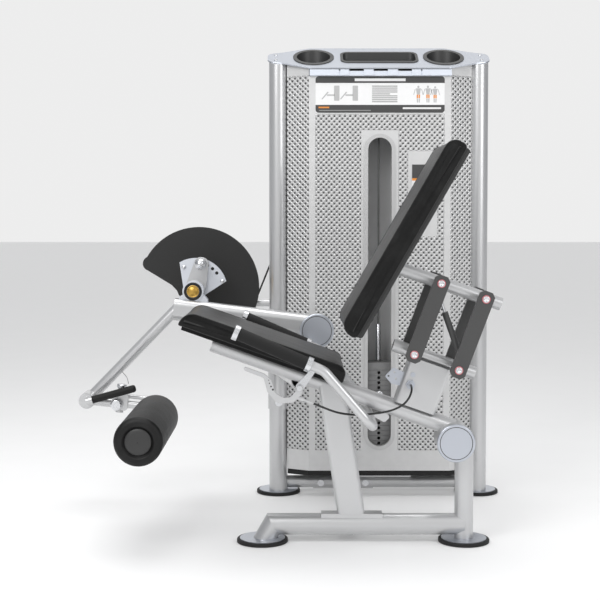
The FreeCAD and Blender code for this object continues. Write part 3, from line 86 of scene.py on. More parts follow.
# ---- node material helpers ----
class Shader:
    """A principled material under construction, with short names for its nodes."""

    def __init__(self, name, rough, metal=0.0):
        self.material = bpy.data.materials.new(name)
        self.material.use_nodes = True
        self.tree = self.material.node_tree
        self.bsdf = self.tree.nodes["Principled BSDF"]
        self.bsdf.inputs["Roughness"].default_value = rough
        self.bsdf.inputs["Metallic"].default_value = metal
        self.place = self.node("ShaderNodeTexCoord").outputs["Object"]

    def node(self, kind, **settings):
        made = self.tree.nodes.new(kind)
        for key, value in settings.items():
            setattr(made, key, value)
        return made

    def join(self, source, target):
        self.tree.links.new(source, target)

    def feed(self, socket, value):
        if isinstance(value, bpy.types.NodeSocket):
            self.join(value, socket)
        else:
            socket.default_value = value

    def math(self, operation, a, b=0.0, c=0.0):
        made = self.node("ShaderNodeMath", operation=operation)
        for socket, value in zip(made.inputs, (a, b, c)):
            self.feed(socket, value)
        return made.outputs[0]

    def stretched(self, scale):
        made = self.node("ShaderNodeMapping")
        self.join(self.place, made.inputs["Vector"])
        made.inputs["Scale"].default_value = scale
        return made.outputs["Vector"]

    def noise(self, scale, detail=3.0, vector=None):
        made = self.node("ShaderNodeTexNoise")
        self.join(vector or self.place, made.inputs["Vector"])
        made.inputs["Scale"].default_value = scale
        made.inputs["Detail"].default_value = detail
        return made.outputs["Fac"]

    def cells(self, scale):
        made = self.node("ShaderNodeTexVoronoi")
        self.join(self.place, made.inputs["Vector"])
        made.inputs["Scale"].default_value = scale
        return made.outputs["Distance"]

    def blend(self, share, first, second):
        made = self.node("ShaderNodeMix", data_type="RGBA")
        self.feed(made.inputs["Factor"], share)
        self.feed(made.inputs[6], first)
        self.feed(made.inputs[7], second)
        return made.outputs[2]

    def step(self, value, low, high):
        """0 below low, 1 above high, smooth between."""
        made = self.node("ShaderNodeMapRange", interpolation_type="SMOOTHSTEP")
        self.feed(made.inputs["Value"], value)
        made.inputs["From Min"].default_value = low
        made.inputs["From Max"].default_value = high
        return made.outputs["Result"]

    def spread(self, value, low, high):
        made = self.node("ShaderNodeMapRange")
        self.feed(made.inputs["Value"], value)
        made.inputs["To Min"].default_value = low
        made.inputs["To Max"].default_value = high
        return made.outputs["Result"]

    def bump(self, height, strength, distance, onto=None):
        made = self.node("ShaderNodeBump")
        made.inputs["Strength"].default_value = strength
        made.inputs["Distance"].default_value = distance
        self.join(height, made.inputs["Height"])
        if onto is not None:
            self.join(onto, made.inputs["Normal"])
        self.join(made.outputs["Normal"], self.bsdf.inputs["Normal"])
        return made.outputs["Normal"]

    def colour(self, value):
        self.feed(self.bsdf.inputs["Base Color"], value)

    def rough(self, value):
        self.feed(self.bsdf.inputs["Roughness"], value)


def grey(value, blue=0.0):
    return (value, value * (1 + blue / 3), value * (1 + blue), 1.0)


def shade(name, dark, light, rough, metal, scale, bump=0.1, size=0.0004, coat=0.0, stretch=None, depth=0.05):
    """A finish whose tone wanders over the surface, with a fine relief."""
    s = Shader(name, rough, metal)
    s.bsdf.inputs["Coat Weight"].default_value = coat
    s.bsdf.inputs["Coat Roughness"].default_value = 0.15
    vector = s.stretched(stretch) if stretch else s.place
    fine = s.noise(scale, 4.0, vector)
    broad = s.noise(6.0, 2.0)
    both = s.math("ADD", s.math("MULTIPLY", fine, 0.6), s.math("MULTIPLY", broad, 0.4))
    s.colour(s.blend(both, dark, light))
    s.rough(s.spread(fine, rough - depth, rough + depth))
    s.bump(fine, bump, size)
    return s.material


def leather(name, dark, light, rough, grain, strength, shine):
    """Upholstery vinyl: pebbled grain over soft creases."""
    s = Shader(name, rough)
    s.bsdf.inputs["Specular IOR Level"].default_value = shine
    pebbles = s.cells(grain)
    creases = s.noise(22.0, 5.0)
    s.colour(s.blend(s.step(creases, 0.35, 0.7), dark, light))
    s.rough(s.spread(creases, rough - 0.06, rough + 0.08))
    under = s.bump(creases, 0.12, 0.002)
    s.bump(pebbles, strength, 0.0006, under)
    return s.material


def brushed_rings(name, centre, dark, light, rough):
    """Turned metal: fine rings about an axis across the machine."""
    s = Shader(name, rough, 0.75)
    offset = s.node("ShaderNodeVectorMath", operation="SUBTRACT")
    s.join(s.place, offset.inputs[0])
    offset.inputs[1].default_value = centre
    flatten = s.node("ShaderNodeVectorMath", operation="MULTIPLY")
    s.join(offset.outputs[0], flatten.inputs[0])
    flatten.inputs[1].default_value = (1, 0, 1)
    length = s.node("ShaderNodeVectorMath", operation="LENGTH")
    s.join(flatten.outputs[0], length.inputs[0])
    rings = s.math("SINE", s.math("MULTIPLY", length.outputs["Value"], 9000.0))
    wander = s.noise(14.0, 3.0)
    tone = s.math("ADD", s.math("MULTIPLY", rings, 0.08), wander)
    s.colour(s.blend(tone, dark, light))
    s.rough(s.spread(wander, rough - 0.05, rough + 0.08))
    s.bump(rings, 0.08, 0.0002)
    return s.material


def perforated(name, x0, x1, z0, z1, centre, reach):
    """Sheet with staggered holes between raised pillows, over a field of the sheet; the holes are painted shade,
    near-black dots coloured in rather than cut.
    """
    s = Shader(name, 0.42, 0.55)
    part = s.node("ShaderNodeSeparateXYZ")
    s.join(s.place, part.inputs[0])
    across, height = part.outputs["X"], part.outputs["Z"]

    def lattice(shift):
        u = s.math("DIVIDE", s.math("SUBTRACT", across, x0 + shift * HOLE_PITCH_X), HOLE_PITCH_X)
        v = s.math("DIVIDE", s.math("SUBTRACT", height, z0 + shift * HOLE_PITCH_Z), HOLE_PITCH_Z)
        near_u = s.math("MULTIPLY", s.math("SUBTRACT", u, s.math("ROUND", u)), HOLE_PITCH_X)
        near_v = s.math("MULTIPLY", s.math("SUBTRACT", v, s.math("ROUND", v)), HOLE_PITCH_Z)
        return s.math("SQRT", s.math("ADD", s.math("POWER", near_u, 2.0), s.math("POWER", near_v, 2.0)))

    gap = s.math("MINIMUM", lattice(0.0), lattice(0.5))
    inside = s.math("MULTIPLY", s.step(across, x0 - 0.002, x0), s.step(across, x1 + 0.002, x1))
    inside = s.math("MULTIPLY", inside, s.step(height, z0 - 0.002, z0))
    inside = s.math("MULTIPLY", inside, s.step(height, z1 + 0.002, z1))
    for middle, half in zip(centre, reach):
        beside = s.math("ABSOLUTE", s.math("SUBTRACT", across, middle[0]))
        above = s.math("ABSOLUTE", s.math("SUBTRACT", height, middle[1]))
        outside_x = s.step(beside, half[0], half[0] + 0.001)
        outside_z = s.step(above, half[1], half[1] + 0.001)
        clear = s.math("MAXIMUM", outside_x, outside_z)
        inside = s.math("MULTIPLY", inside, clear)
    # painted shade: where the holes fall, the sheet is coloured near-black and made non-metallic to stand in for
    # the shade seen through them
    hole_shade = s.math("MULTIPLY", s.math("SUBTRACT", 1.0, s.step(gap, HOLE_R - 0.0006, HOLE_R + 0.0006)), inside)
    wander = s.noise(40.0, 3.0)
    sheet = s.blend(wander, grey(0.62), grey(0.70))
    s.colour(s.blend(hole_shade, sheet, grey(0.012)))
    s.feed(s.bsdf.inputs["Metallic"], s.math("MULTIPLY", s.math("SUBTRACT", 1.0, hole_shade), 0.55))
    pillow = s.math("MULTIPLY", s.step(gap, HOLE_R, 0.0064), inside)
    under = s.bump(pillow, 1.0, 0.0028)
    s.bump(s.noise(700.0, 2.0), 0.06, 0.0003, under)
    return s.material


# ---- mesh helpers ----
def add_object(name, verts, faces, material=None, smooth=True):
    mesh = bpy.data.meshes.new(name)
    mesh.from_pydata([tuple(v) for v in verts], [], faces)
    mesh.validate()
    if smooth:
        mesh.polygons.foreach_set("use_smooth", [True] * len(mesh.polygons))
    made = bpy.data.objects.new(name, mesh)
    bpy.context.scene.collection.objects.link(made)
    if material is not None:
        mesh.materials.append(material)
    return made


def tidy_normals(made):
    work = bmesh.new()
    work.from_mesh(made.data)
    bmesh.ops.remove_doubles(work, verts=work.verts, dist=1e-6)
    bmesh.ops.recalc_face_normals(work, faces=work.faces)
    work.to_mesh(made.data)
    work.free()


def lathe(name, centre, profile, material, slices=72):
    """A turned piece about an axis along Y; profile holds (radius, y) from one end to the other."""
    verts = []
    for radius, depth in profile:
        for k in range(slices):
            turn = 2 * math.pi * k / slices
            verts.append(Vector((centre[0] + radius * math.cos(turn), centre[1] + depth,
                                 centre[2] + radius * math.sin(turn))))
    faces = []
    for row in range(len(profile) - 1):
        for k in range(slices):
            after = (k + 1) % slices
            faces.append((row * slices + k, row * slices + after,
                          (row + 1) * slices + after, (row + 1) * slices + k))
    made = add_object(name, verts, faces, material)
    tidy_normals(made)
    return made


def arc(centre, radius, start, end, steps):
    """Points of an arc in (radius, y), angles in degrees."""
    points = []
    for k in range(steps + 1):
        turn = math.radians(start + (end - start) * k / steps)
        points.append((centre[0] + radius * math.cos(turn), centre[1] + radius * math.sin(turn)))
    return points


def tube_through(name, points, radius, material, closed=False):
    """A round bead along a smooth line."""
    curve = bpy.data.curves.new(name, "CURVE")
    curve.dimensions = "3D"
    line = curve.splines.new("NURBS")
    line.points.add(len(points) - 1)
    for point, place in zip(line.points, points):
        point.co = (*place, 1.0)
    line.order_u = 3
    line.use_endpoint_u = not closed
    line.use_cyclic_u = closed
    curve.bevel_depth = radius
    curve.bevel_resolution = 3
    curve.resolution_u = 6
    curve.use_fill_caps = True
    curve.materials.append(material)
    made = bpy.data.objects.new(name, curve)
    bpy.context.scene.collection.objects.link(made)
    return made


def plate(name, corners, y0, y1, material):
    """A thin flat piece: an outline in (x, z) between two depths."""
    count = len(corners)
    verts = [(x, y, z) for y in (y0, y1) for x, z in corners]
    faces = [tuple(range(count)), tuple(range(2 * count - 1, count - 1, -1))]
    for k in range(count):
        after = (k + 1) % count
        faces.append((k, after, count + after, count + k))
    made = add_object(name, verts, faces, material, smooth=False)
    tidy_normals(made)
    return made


def rounded_outline(x0, x1, z0, z1, radii, steps=6):
    """Outline of a rectangle; radii run from low left, counter-clockwise."""
    corners = ((x0, z0, 180), (x1, z0, 270), (x1, z1, 0), (x0, z1, 90))
    points = []
    for (x, z, start), radius in zip(corners, radii):
        cx = x + (radius if x == x0 else -radius)
        cz = z + (radius if z == z0 else -radius)
        for k in range(steps + 1 if radius else 1):
            turn = math.radians(start + 90 * k / steps)
            points.append((cx + radius * math.cos(turn), cz + radius * math.sin(turn)))
    return points


def merged(name, pieces):
    """Several objects joined into one piece."""
    bpy.ops.object.select_all(action="DESELECT")
    for piece in pieces:
        piece.select_set(True)
    bpy.context.view_layer.objects.active = pieces[0]
    bpy.ops.object.join()
    pieces[0].name = name
    return pieces[0]


# ---- camera ----
def camera():
    data = bpy.data.cameras.new("camera")
    data.sensor_width = 36.0
    data.lens = 74.1
    data.shift_y = -0.055
    made = bpy.data.objects.new("camera", data)
    made.location = (0.01775, -3.808, 0.953)
    made.rotation_euler = (math.radians(90 - 2.4), 0, 0)
    bpy.context.scene.collection.objects.link(made)
    bpy.context.scene.camera = made


camera()


# ---- free cords ----
CABLE_COAT = shade("cable_coat", grey(0.006), grey(0.02), 0.38, 0.0, 300.0, 0.15, 0.0003)
RELEASE_ROUTE = (
    (0.05407, -0.4905, 0.44478), (0.07915, -0.4905, 0.4348), (0.11775, -0.474, 0.417),
    (0.16575, -0.434, 0.404), (0.21775, -0.397, 0.401), (0.26775, -0.37, 0.404),
    (0.30375, -0.354, 0.416), (0.32375, -0.345, 0.434), (0.33425, -0.328, 0.454),
    (0.33601, -0.306, 0.46552), (0.33601, -0.281, 0.46552))
LANYARD_ROUTE = (
    (-0.56565, 0.2227, 0.4414), (-0.56005, 0.2172, 0.436), (-0.55025, 0.21, 0.4275),
    (-0.54325, 0.202, 0.416), (-0.54105, 0.196, 0.404))


def cords():
    release = tube_through("release_cable_jacket", RELEASE_ROUTE, 0.003, CABLE_COAT)
    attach(release, "frame")
    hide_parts("release_cable")
    lanyard = tube_through("pin_lanyard", LANYARD_ROUTE, 0.0008, CABLE_COAT)
    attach(lanyard, "lever")
    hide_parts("lanyard")


cords()


# ---- finishes ----
SILVER = shade("silver_paint", grey(0.52, 0.01), grey(0.60, 0.02), 0.30, 0.65, 900.0, 0.05, 0.0002, 0.25)
SILVER_SHEET = shade("silver_sheet", grey(0.52), grey(0.60), 0.38, 0.5, 600.0, 0.05, 0.0002)
MACHINED = shade("machined", grey(0.44, 0.16), grey(0.58, 0.14), 0.30, 0.8, 260.0, 0.08, 0.0002,
                 stretch=(1, 1, 30))
START_PLATE = shade("start_plate", grey(0.60, 0.12), grey(0.70, 0.10), 0.36, 0.45, 400.0, 0.04, 0.0002)
LINK_GREY = shade("link_grey", grey(0.05), grey(0.075), 0.45, 0.2, 500.0, 0.08, 0.0002, 0.1)
CHARCOAL = shade("charcoal", grey(0.018), grey(0.03), 0.5, 0.15, 500.0, 0.10, 0.0003, 0.08)
RUBBER = shade("grip_rubber", grey(0.005), grey(0.012), 0.60, 0.0, 420.0, 0.35, 0.0006)
FOOT_RUBBER = shade("foot_rubber", grey(0.008), grey(0.02), 0.6, 0.0, 300.0, 0.25, 0.0005)
STEEL = shade("polished_steel", grey(0.62, 0.03), grey(0.74, 0.05), 0.27, 1.0, 400.0, 0.008, 0.0001,
              stretch=(1, 1, 14))
# painted light: the stack steel is grey steel set lighter than the plates' own mid grey, to look lit in the shade
# inside the tower
IRON_WITH_PAINTED_LIGHT = shade("stack_steel", grey(0.17), grey(0.24), 0.48, 0.3, 350.0, 0.2, 0.0005)
PLASTIC = shade("tray_plastic", grey(0.02), grey(0.035), 0.42, 0.0, 500.0, 0.2, 0.0004)
BOARD = shade("board", grey(0.012), grey(0.03), 0.6, 0.0, 250.0, 0.3, 0.0006)
PRINT = shade("placard_print", grey(0.78), grey(0.86), 0.35, 0.0, 120.0, 0.03, 0.0002)
TRIM = shade("trim_print", grey(0.60, 0.18), grey(0.74, 0.16), 0.35, 0.1, 120.0, 0.04, 0.0002)
BRONZE = brushed_rings("bearing_bronze", joint_at("cam_turn"), (0.36, 0.20, 0.03, 1),
                       (0.62, 0.40, 0.10, 1), 0.32)
WIRE_ROPE = shade("wire_rope", grey(0.10), grey(0.35), 0.35, 0.8, 900.0, 0.5, 0.0006)
SIDE_VINYL = leather("side_vinyl", grey(0.004), grey(0.010), 0.68, 900.0, 0.5, 0.25)
TOP_VINYL = leather("top_vinyl", grey(0.009), grey(0.020), 0.38, 520.0, 0.14, 0.5)
ROLLER_VINYL = leather("roller_vinyl", grey(0.004), grey(0.010), 0.50, 700.0, 0.2, 0.3)
THREAD = shade("seam_thread", grey(0.012), grey(0.03), 0.6, 0.0, 900.0, 0.4, 0.0004)
ORANGE = shade("orange_print", (0.66, 0.22, 0.03, 1), (0.78, 0.30, 0.05, 1), 0.4, 0.0, 160.0, 0.03, 0.0002)
DARK_PRINT = shade("dark_print", grey(0.045), grey(0.06), 0.4, 0.0, 160.0, 0.03, 0.0002)
PINK = shade("washer_polymer", (0.50, 0.13, 0.15, 1), (0.62, 0.22, 0.24, 1), 0.4, 0.1, 300.0, 0.05, 0.0002)

SLOT_FINISH = {
    "silver_paint": SILVER, "shroud_paint": SILVER_SHEET, "machined": MACHINED, "link_paint": LINK_GREY,
    "cam_paint": CHARCOAL, "vinyl": SIDE_VINYL, "grip_rubber": RUBBER, "foot_rubber": FOOT_RUBBER,
    "polished_steel": STEEL, "bearing_bronze": BRONZE, "stack_steel": IRON_WITH_PAINTED_LIGHT, "tray_plastic": PLASTIC,
    "board": BOARD, "placard_print": PRINT, "foam": SIDE_VINYL, "cable_coat": CABLE_COAT,
}
# painted light: the rear panel seen through the slot is a pale sheet made lighter than the other sheet metal, to
# look lit in the shade inside the tower
REAR_SHEET_WITH_PAINTED_LIGHT = shade("rear_sheet_painted_light", grey(0.74), grey(0.82), 0.55, 0.05, 600.0, 0.05, 0.0002)
NODE_FINISH = {"trim_strip": TRIM, "top_plate": MACHINED, "stack_cable": WIRE_ROPE, "seat_board": SIDE_VINYL,
               "selector_plate": START_PLATE, "pillow_block": START_PLATE, "rear_panel": REAR_SHEET_WITH_PAINTED_LIGHT}
for dull in (RUBBER, FOOT_RUBBER, CHARCOAL):
    dull.node_tree.nodes["Principled BSDF"].inputs["Specular IOR Level"].default_value = 0.3


def shroud_finishes():
    low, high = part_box("front_panel")
    bezel_low, bezel_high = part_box("slot_bezel")
    slot = ((bezel_low.x + bezel_high.x) / 2, (bezel_low.z + bezel_high.z) / 2)
    slot_half = ((bezel_high.x - bezel_low.x) / 2 + 0.010, (bezel_high.z - bezel_low.z) / 2 + 0.012)
    margin = 0.023
    label = (high.x - 0.094, low.z + 0.937)
    front = perforated("perforated_front", low.x + margin, high.x - margin, low.z + 0.071, high.z - 0.128,
                       (slot, label), (slot_half, (0.049, 0.143)))
    NODE_FINISH["front_panel"] = front
    side_low, side_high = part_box("side_panels")
    middle = ((low.x + high.x) / 2, (low.z + high.z) / 2)
    side = perforated("perforated_side", side_low.x, side_high.x, side_low.z + 0.071, side_high.z - 0.10,
                      (middle,), ((high.x - middle[0] + 0.026, 0),))
    NODE_FINISH["side_panels"] = side


def finish_nodes():
    for row in frame["record"]["subparts"]:
        node = frame["nodes"][row["node"]]
        finish = NODE_FINISH.get(row["node"], SLOT_FINISH[row["material_slot"]])
        node.data.materials.clear()
        node.data.materials.append(finish)


shroud_finishes()
finish_nodes()


# ---- cushions ----
def pad_profile(spans, radii):
    """Side outline of a pad, walked round from its underside, in (along, up)."""
    (a0, a1), _, (u0, u1) = spans
    a0, a1, u1 = a0 + PAD_INSET, a1 - PAD_INSET, u1 - PAD_INSET
    outline = rounded_outline(a0, a1, u0, u1, radii, 10)
    points = []
    spacing = 0.008
    for index, start in enumerate(outline):
        end = outline[(index + 1) % len(outline)]
        run = math.dist(start, end)
        for k in range(max(1, round(run / spacing))):
            share = k / max(1, round(run / spacing))
            points.append((start[0] + (end[0] - start[0]) * share, start[1] + (end[1] - start[1]) * share))
    return points


def pad_shell(name, spans, radii, along, up):
    """A closed cushion of rows across the machine, with inset rings on its two side faces."""
    outline = pad_profile(spans, radii)
    y0, y1 = spans[1][0] + PAD_INSET, spans[1][1] - PAD_INSET
    half_thick = (spans[2][1] - spans[2][0]) / 2
    middle = spans[2][0] + half_thick
    core = (spans[0][0] + half_thick, spans[0][1] - half_thick)

    def ring(y, share):
        row = []
        for a, u in outline:
            spine = (min(max(a, core[0]), core[1]), middle)
            row.append((a + (spine[0] - a) * share, y, u + (spine[1] - u) * share))
        return row

    rows = [ring(y0, INNER_RING * (1 - k / SIDE_RINGS)) for k in range(SIDE_RINGS)]
    steps = max(2, round((y1 - y0) / 0.009))
    rows += [ring(y0 + (y1 - y0) * k / steps, 0.0) for k in range(steps + 1)]
    rows += [ring(y1, INNER_RING * (k + 1) / SIDE_RINGS) for k in range(SIDE_RINGS)]
    count = len(outline)
    verts = [along * a + Vector((0, y, 0)) + up * u for row in rows for a, y, u in row]
    faces = []
    for r in range(len(rows) - 1):
        for k in range(count):
            after = (k + 1) % count
            faces.append((r * count + k, r * count + after, (r + 1) * count + after, (r + 1) * count + k))
    last = (len(rows) - 1) * count
    faces += [tuple(range(count)), tuple(range(last + count - 1, last - 1, -1))]
    made = add_object(name, verts, faces)
    work = bmesh.new()
    work.from_mesh(made.data)
    bmesh.ops.recalc_face_normals(work, faces=work.faces)
    work.to_mesh(made.data)
    work.free()
    seams = [[r * count + k for k in range(count)] for r in (SIDE_RINGS, SIDE_RINGS + steps)]
    return made, seams


def inflate(made, spans, up, base_share, seams):
    """Cloth under slight pressure, held along its underside and seams, with its travel capped."""
    rest = [v.co.copy() for v in made.data.vertices]
    low, high = spans[2]
    group = made.vertex_groups.new(name="held")
    for vertex in made.data.vertices:
        height = (vertex.co.dot(up) - low) / (high - low)
        if height < base_share:
            group.add([vertex.index], 1.0, "REPLACE")
    for seam in seams:
        group.add(seam, 1.0, "REPLACE")
    cloth = made.modifiers.new("cloth", "CLOTH")
    cloth.settings.vertex_group_mass = "held"
    cloth.settings.use_pressure = True
    cloth.settings.uniform_pressure_force = 4.0
    cloth.settings.effector_weights.gravity = 0.0
    cloth.settings.quality = 6
    cloth.point_cache.frame_start = 1
    cloth.point_cache.frame_end = CLOTH_FRAMES
    for number in range(1, CLOTH_FRAMES + 1):
        bpy.context.scene.frame_set(number)
    graph = bpy.context.evaluated_depsgraph_get()
    moved = [v.co.copy() for v in made.evaluated_get(graph).data.vertices]
    made.modifiers.clear()
    made.vertex_groups.clear()
    for vertex, start, end in zip(made.data.vertices, rest, moved):
        shift = end - start
        if shift.length > PAD_SWELL:
            shift = shift.normalized() * PAD_SWELL
        vertex.co = start + shift
    bpy.context.scene.frame_set(1)


def cover(made, up):
    """Smooth vinyl on the face that is sat on, grained vinyl round the sides."""
    made.data.materials.append(SIDE_VINYL)
    made.data.materials.append(TOP_VINYL)
    for face in made.data.polygons:
        face.use_smooth = True
        across = abs(face.normal.y)
        face.material_index = 1 if across < 0.55 and face.normal.dot(up) > -0.2 else 0


def cushion(name, node, body, along, up, radii, base_share):
    spans = local_box(node, along, up)
    made, seams = pad_shell(name, spans, radii, along, up)
    inflate(made, spans, up, base_share, seams)
    cover(made, up)
    crease = made.data.attributes.new("crease_edge", "FLOAT", "EDGE")
    welted = {frozenset(pair) for seam in seams for pair in zip(seam, seam[1:] + seam[:1])}
    sharp = [SEAM_CREASE if frozenset(edge.vertices) in welted else 0.0 for edge in made.data.edges]
    crease.data.foreach_set("value", sharp)
    smooth = made.modifiers.new("smooth", "SUBSURF")
    smooth.levels = 1
    smooth.render_levels = 1
    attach(made, body)
    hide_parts(node)
    for seam, side in zip(seams, ("near", "far")):
        line = [made.data.vertices[index].co.copy() for index in seam[::2]]
        bead = tube_through(name + "_seam_" + side, line, PIPING_R, THREAD, closed=True)
        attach(bead, body)
    return made


def cushions():
    along = Vector((math.cos(SEAT_SLOPE), 0, -math.sin(SEAT_SLOPE)))
    up = Vector((math.sin(SEAT_SLOPE), 0, math.cos(SEAT_SLOPE)))
    cushion("seat_cushion", "seat_pad", "frame", along, up, SEAT_RADII, 0.12)
    along = Vector((math.sin(BACK_LEAN), 0, math.cos(BACK_LEAN)))
    up = Vector((-math.cos(BACK_LEAN), 0, math.sin(BACK_LEAN)))
    cushion("back_cushion", "back_pad", "back", along, up, BACK_RADII, 0.12)


cushions()


# ---- roller ----
def roller():
    low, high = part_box("roller")
    axis = joint_at("roller_spin")
    centre = (axis.x, 0.0, axis.z)
    radius = (high.z - low.z) / 2
    rim = 0.016
    near, far = low.y, high.y
    profile = [(0.0001, near + 0.007), (0.043, near + 0.007), (0.0435, near + 0.0015), (0.048, near)]
    profile += arc((radius - rim, near + rim), rim, 270, 360, 8)
    profile += arc((radius - rim, far - rim), rim, 0, 90, 8)
    profile += [(0.048, far), (0.0435, far - 0.0015), (0.043, far - 0.007), (0.0001, far - 0.007)]
    foam = lathe("roller_foam", centre, profile, ROLLER_VINYL, 96)
    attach(foam, "roller")
    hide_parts("roller")
    curve = [math.radians(t) for t in range(10, 91, 10)]
    dome = [(0.0001, near + 0.0005)]
    dome += [(0.038 * math.sin(t), near + 0.0067 - 0.0062 * math.cos(t)) for t in curve]
    dome += [(0.038, near + 0.009)]
    cap = lathe("roller_cap", centre, dome, PLASTIC)
    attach(cap, "roller")
    # painted shade: a dark disc over the middle of the cap stands in for the shade inside its bore
    bore_shade = [(0.0001, near - 0.0001), (0.0022, near - 0.0001), (0.0026, near + 0.001)]
    hole_shade = lathe("roller_cap_hole_shade", centre, bore_shade, CABLE_COAT, 20)
    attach(hole_shade, "roller")


roller()


# ---- bearing and pins ----
def bearing():
    pivot = joint_at("cam_turn")
    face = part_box("pillow_block")[0].y
    seal_y = min(face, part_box("cam_axle")[0].y)
    centre = (pivot.x, 0.0, pivot.z)
    rim = [(0.0205, seal_y + 0.002), (0.021, seal_y - 0.0002), (0.024, seal_y - 0.0012),
           (0.0275, seal_y - 0.0012), (0.029, seal_y), (0.029, seal_y + 0.003)]
    seal = lathe("bearing_seal", centre, rim, FOOT_RUBBER)
    turned = [(0.0001, seal_y - 0.0006), (0.0148, seal_y - 0.0006), (0.0152, seal_y), (0.0160, seal_y),
              (0.0164, seal_y - 0.0006), (0.0200, seal_y - 0.0004), (0.0205, seal_y + 0.002)]
    disc = lathe("bearing_face", centre, turned, BRONZE)
    for piece, slot in ((seal, "foot_rubber"), (disc, "bearing_bronze")):
        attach(piece, "frame")


def link_bolts():
    """A coloured washer and a socket-headed bolt over each end of the four link pins."""
    lower_front, lower_rear = joint_at("back_shift"), joint_at("rear_link_turn")
    upper_front = joint_at("back_level")
    upper_rear = upper_front + lower_rear - lower_front
    low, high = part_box("front_links")
    places = ((lower_front, "front_link"), (upper_front, "front_link"), (lower_rear, "rear_link"),
              (upper_rear, "rear_link"))
    for number, (place, body) in enumerate(places):
        for side, face, way in (("near", low.y, -1), ("far", high.y, 1)):
            centre = (place.x, 0.0, place.z)
            washer = [(0.0095, face), (0.0097, face + way * 0.0012), (0.0112, face + way * 0.0012),
                      (0.0118, face + way * 0.0004), (0.0118, face - way * 0.002)]
            ring = lathe(f"link_washer_{number}_{side}", centre, washer, PINK, 40)
            head = [(0.0001, face + way * 0.0002), (0.0042, face + way * 0.0002),
                    (0.0046, face + way * 0.0015), (0.0088, face + way * 0.0015),
                    (0.0095, face + way * 0.0008), (0.0095, face - way * 0.002)]
            bolt = lathe(f"link_bolt_{number}_{side}", centre, head, STEEL, 40)
            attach(ring, body)
            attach(bolt, body)


def boss_rings():
    """The turned line near the rim of each boss cap."""
    caps = frame["nodes"]["boss_caps"]
    shapes = islands(caps.data)
    for number, (low, high) in enumerate(shapes):
        centre = ((low.x + high.x) / 2, 0.0, (low.z + high.z) / 2)
        outward = -1 if number_is_near(low, high, shapes) else 1
        face = low.y if outward < 0 else high.y
        groove = lathe(f"boss_line_{number}", centre,
                       [(0.0452, face - outward * 0.001), (0.0456, face + outward * 0.0002),
                        (0.0472, face + outward * 0.0002), (0.0476, face - outward * 0.001)], PLASTIC)
        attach(groove, "frame")


def islands(mesh):
    """The box of each separate solid in a mesh."""
    work = bmesh.new()
    work.from_mesh(mesh)
    bmesh.ops.remove_doubles(work, verts=work.verts, dist=1e-6)
    left = set(work.verts)
    boxes = []
    while left:
        stack = [left.pop()]
        found = list(stack)
        while stack:
            for edge in stack.pop().link_edges:
                for vertex in edge.verts:
                    if vertex in left:
                        left.discard(vertex)
                        stack.append(vertex)
                        found.append(vertex)
        low = Vector([min(v.co[k] for v in found) for k in range(3)])
        high = Vector([max(v.co[k] for v in found) for k in range(3)])
        boxes.append((low, high))
    work.free()
    return sorted(boxes, key=lambda pair: tuple(round(c, 4) for c in pair[0]))


def number_is_near(low, high, shapes):
    """True for the cap at the near end of its boss."""
    middle = (low.y + high.y) / 2
    partners = [(a.y + b.y) / 2 for a, b in shapes if abs(a.x - low.x) < 0.01 and abs(a.z - low.z) < 0.01]
    return middle <= min(partners) + 1e-4


bearing()
link_bolts()
boss_rings()


def stack_stem():
    """The bright tube over the stem that carries the lifted plates."""
    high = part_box("stack_lifted")[1]
    cable_low, cable_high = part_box("stack_cable")
    x, y = (cable_low.x + cable_high.x) / 2, (cable_low.y + cable_high.y) / 2
    radius = 0.0088
    rows = [(radius, high.z - 0.122), (radius, high.z - 0.0008), (radius - 0.0008, high.z + 0.0002),
            (0.004, high.z + 0.0002)]
    verts, slices = [], 40
    for r, z in rows:
        verts += [(x + r * math.cos(2 * math.pi * k / slices), y + r * math.sin(2 * math.pi * k / slices), z)
                  for k in range(slices)]
    faces = [(row * slices + k, row * slices + (k + 1) % slices, (row + 1) * slices + (k + 1) % slices,
              (row + 1) * slices + k) for row in range(len(rows) - 1) for k in range(slices)]
    stem = add_object("stem_sleeve", verts, faces, STEEL)
    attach(stem, "stack")


def stop_studs():
    """The two rounded stops on the start plate."""
    pivot = joint_at("cam_turn")
    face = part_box("selector_plate")[0].y
    for name, radius, degrees in (("stop_stud_high", 0.0835, 118), ("stop_stud_low", 0.092, 17)):
        turn = math.radians(degrees)
        centre = (pivot.x + radius * math.cos(turn), 0.0, pivot.z + radius * math.sin(turn))
        curve = [math.radians(t) for t in range(15, 91, 15)]
        dome = [(0.0001, face - 0.0065)]
        dome += [(0.0075 * math.sin(t), face - 0.0065 * math.cos(t)) for t in curve]
        dome += [(0.0075, face + 0.001)]
        stud = lathe(name, centre, dome, STEEL, 32)
        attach(stud, "cam")


def shroud_lower_band():
    """Dark strip closing the gap under the front and angled panels."""
    low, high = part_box("front_panel")
    side_low, side_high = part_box("side_panels")
    bottom, top = low.z - 0.017, low.z - 0.0005
    reach_y = low.y + 0.037
    plan = [(side_low.x + 0.002, reach_y), (low.x, low.y + 0.001), (high.x, low.y + 0.001),
            (side_high.x - 0.002, reach_y)]
    inner = [(x, y + 0.004) for x, y in reversed(plan)]
    outline = plan + inner
    count = len(outline)
    verts = [(x, y, z) for z in (bottom, top) for x, y in outline]
    faces = [tuple(range(count)), tuple(range(2 * count - 1, count - 1, -1))]
    faces += [(k, (k + 1) % count, count + (k + 1) % count, count + k) for k in range(count)]
    lower_band = add_object("shroud_dark_band", verts, faces, FOOT_RUBBER, smooth=False)
    tidy_normals(lower_band)
    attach(lower_band, "frame")


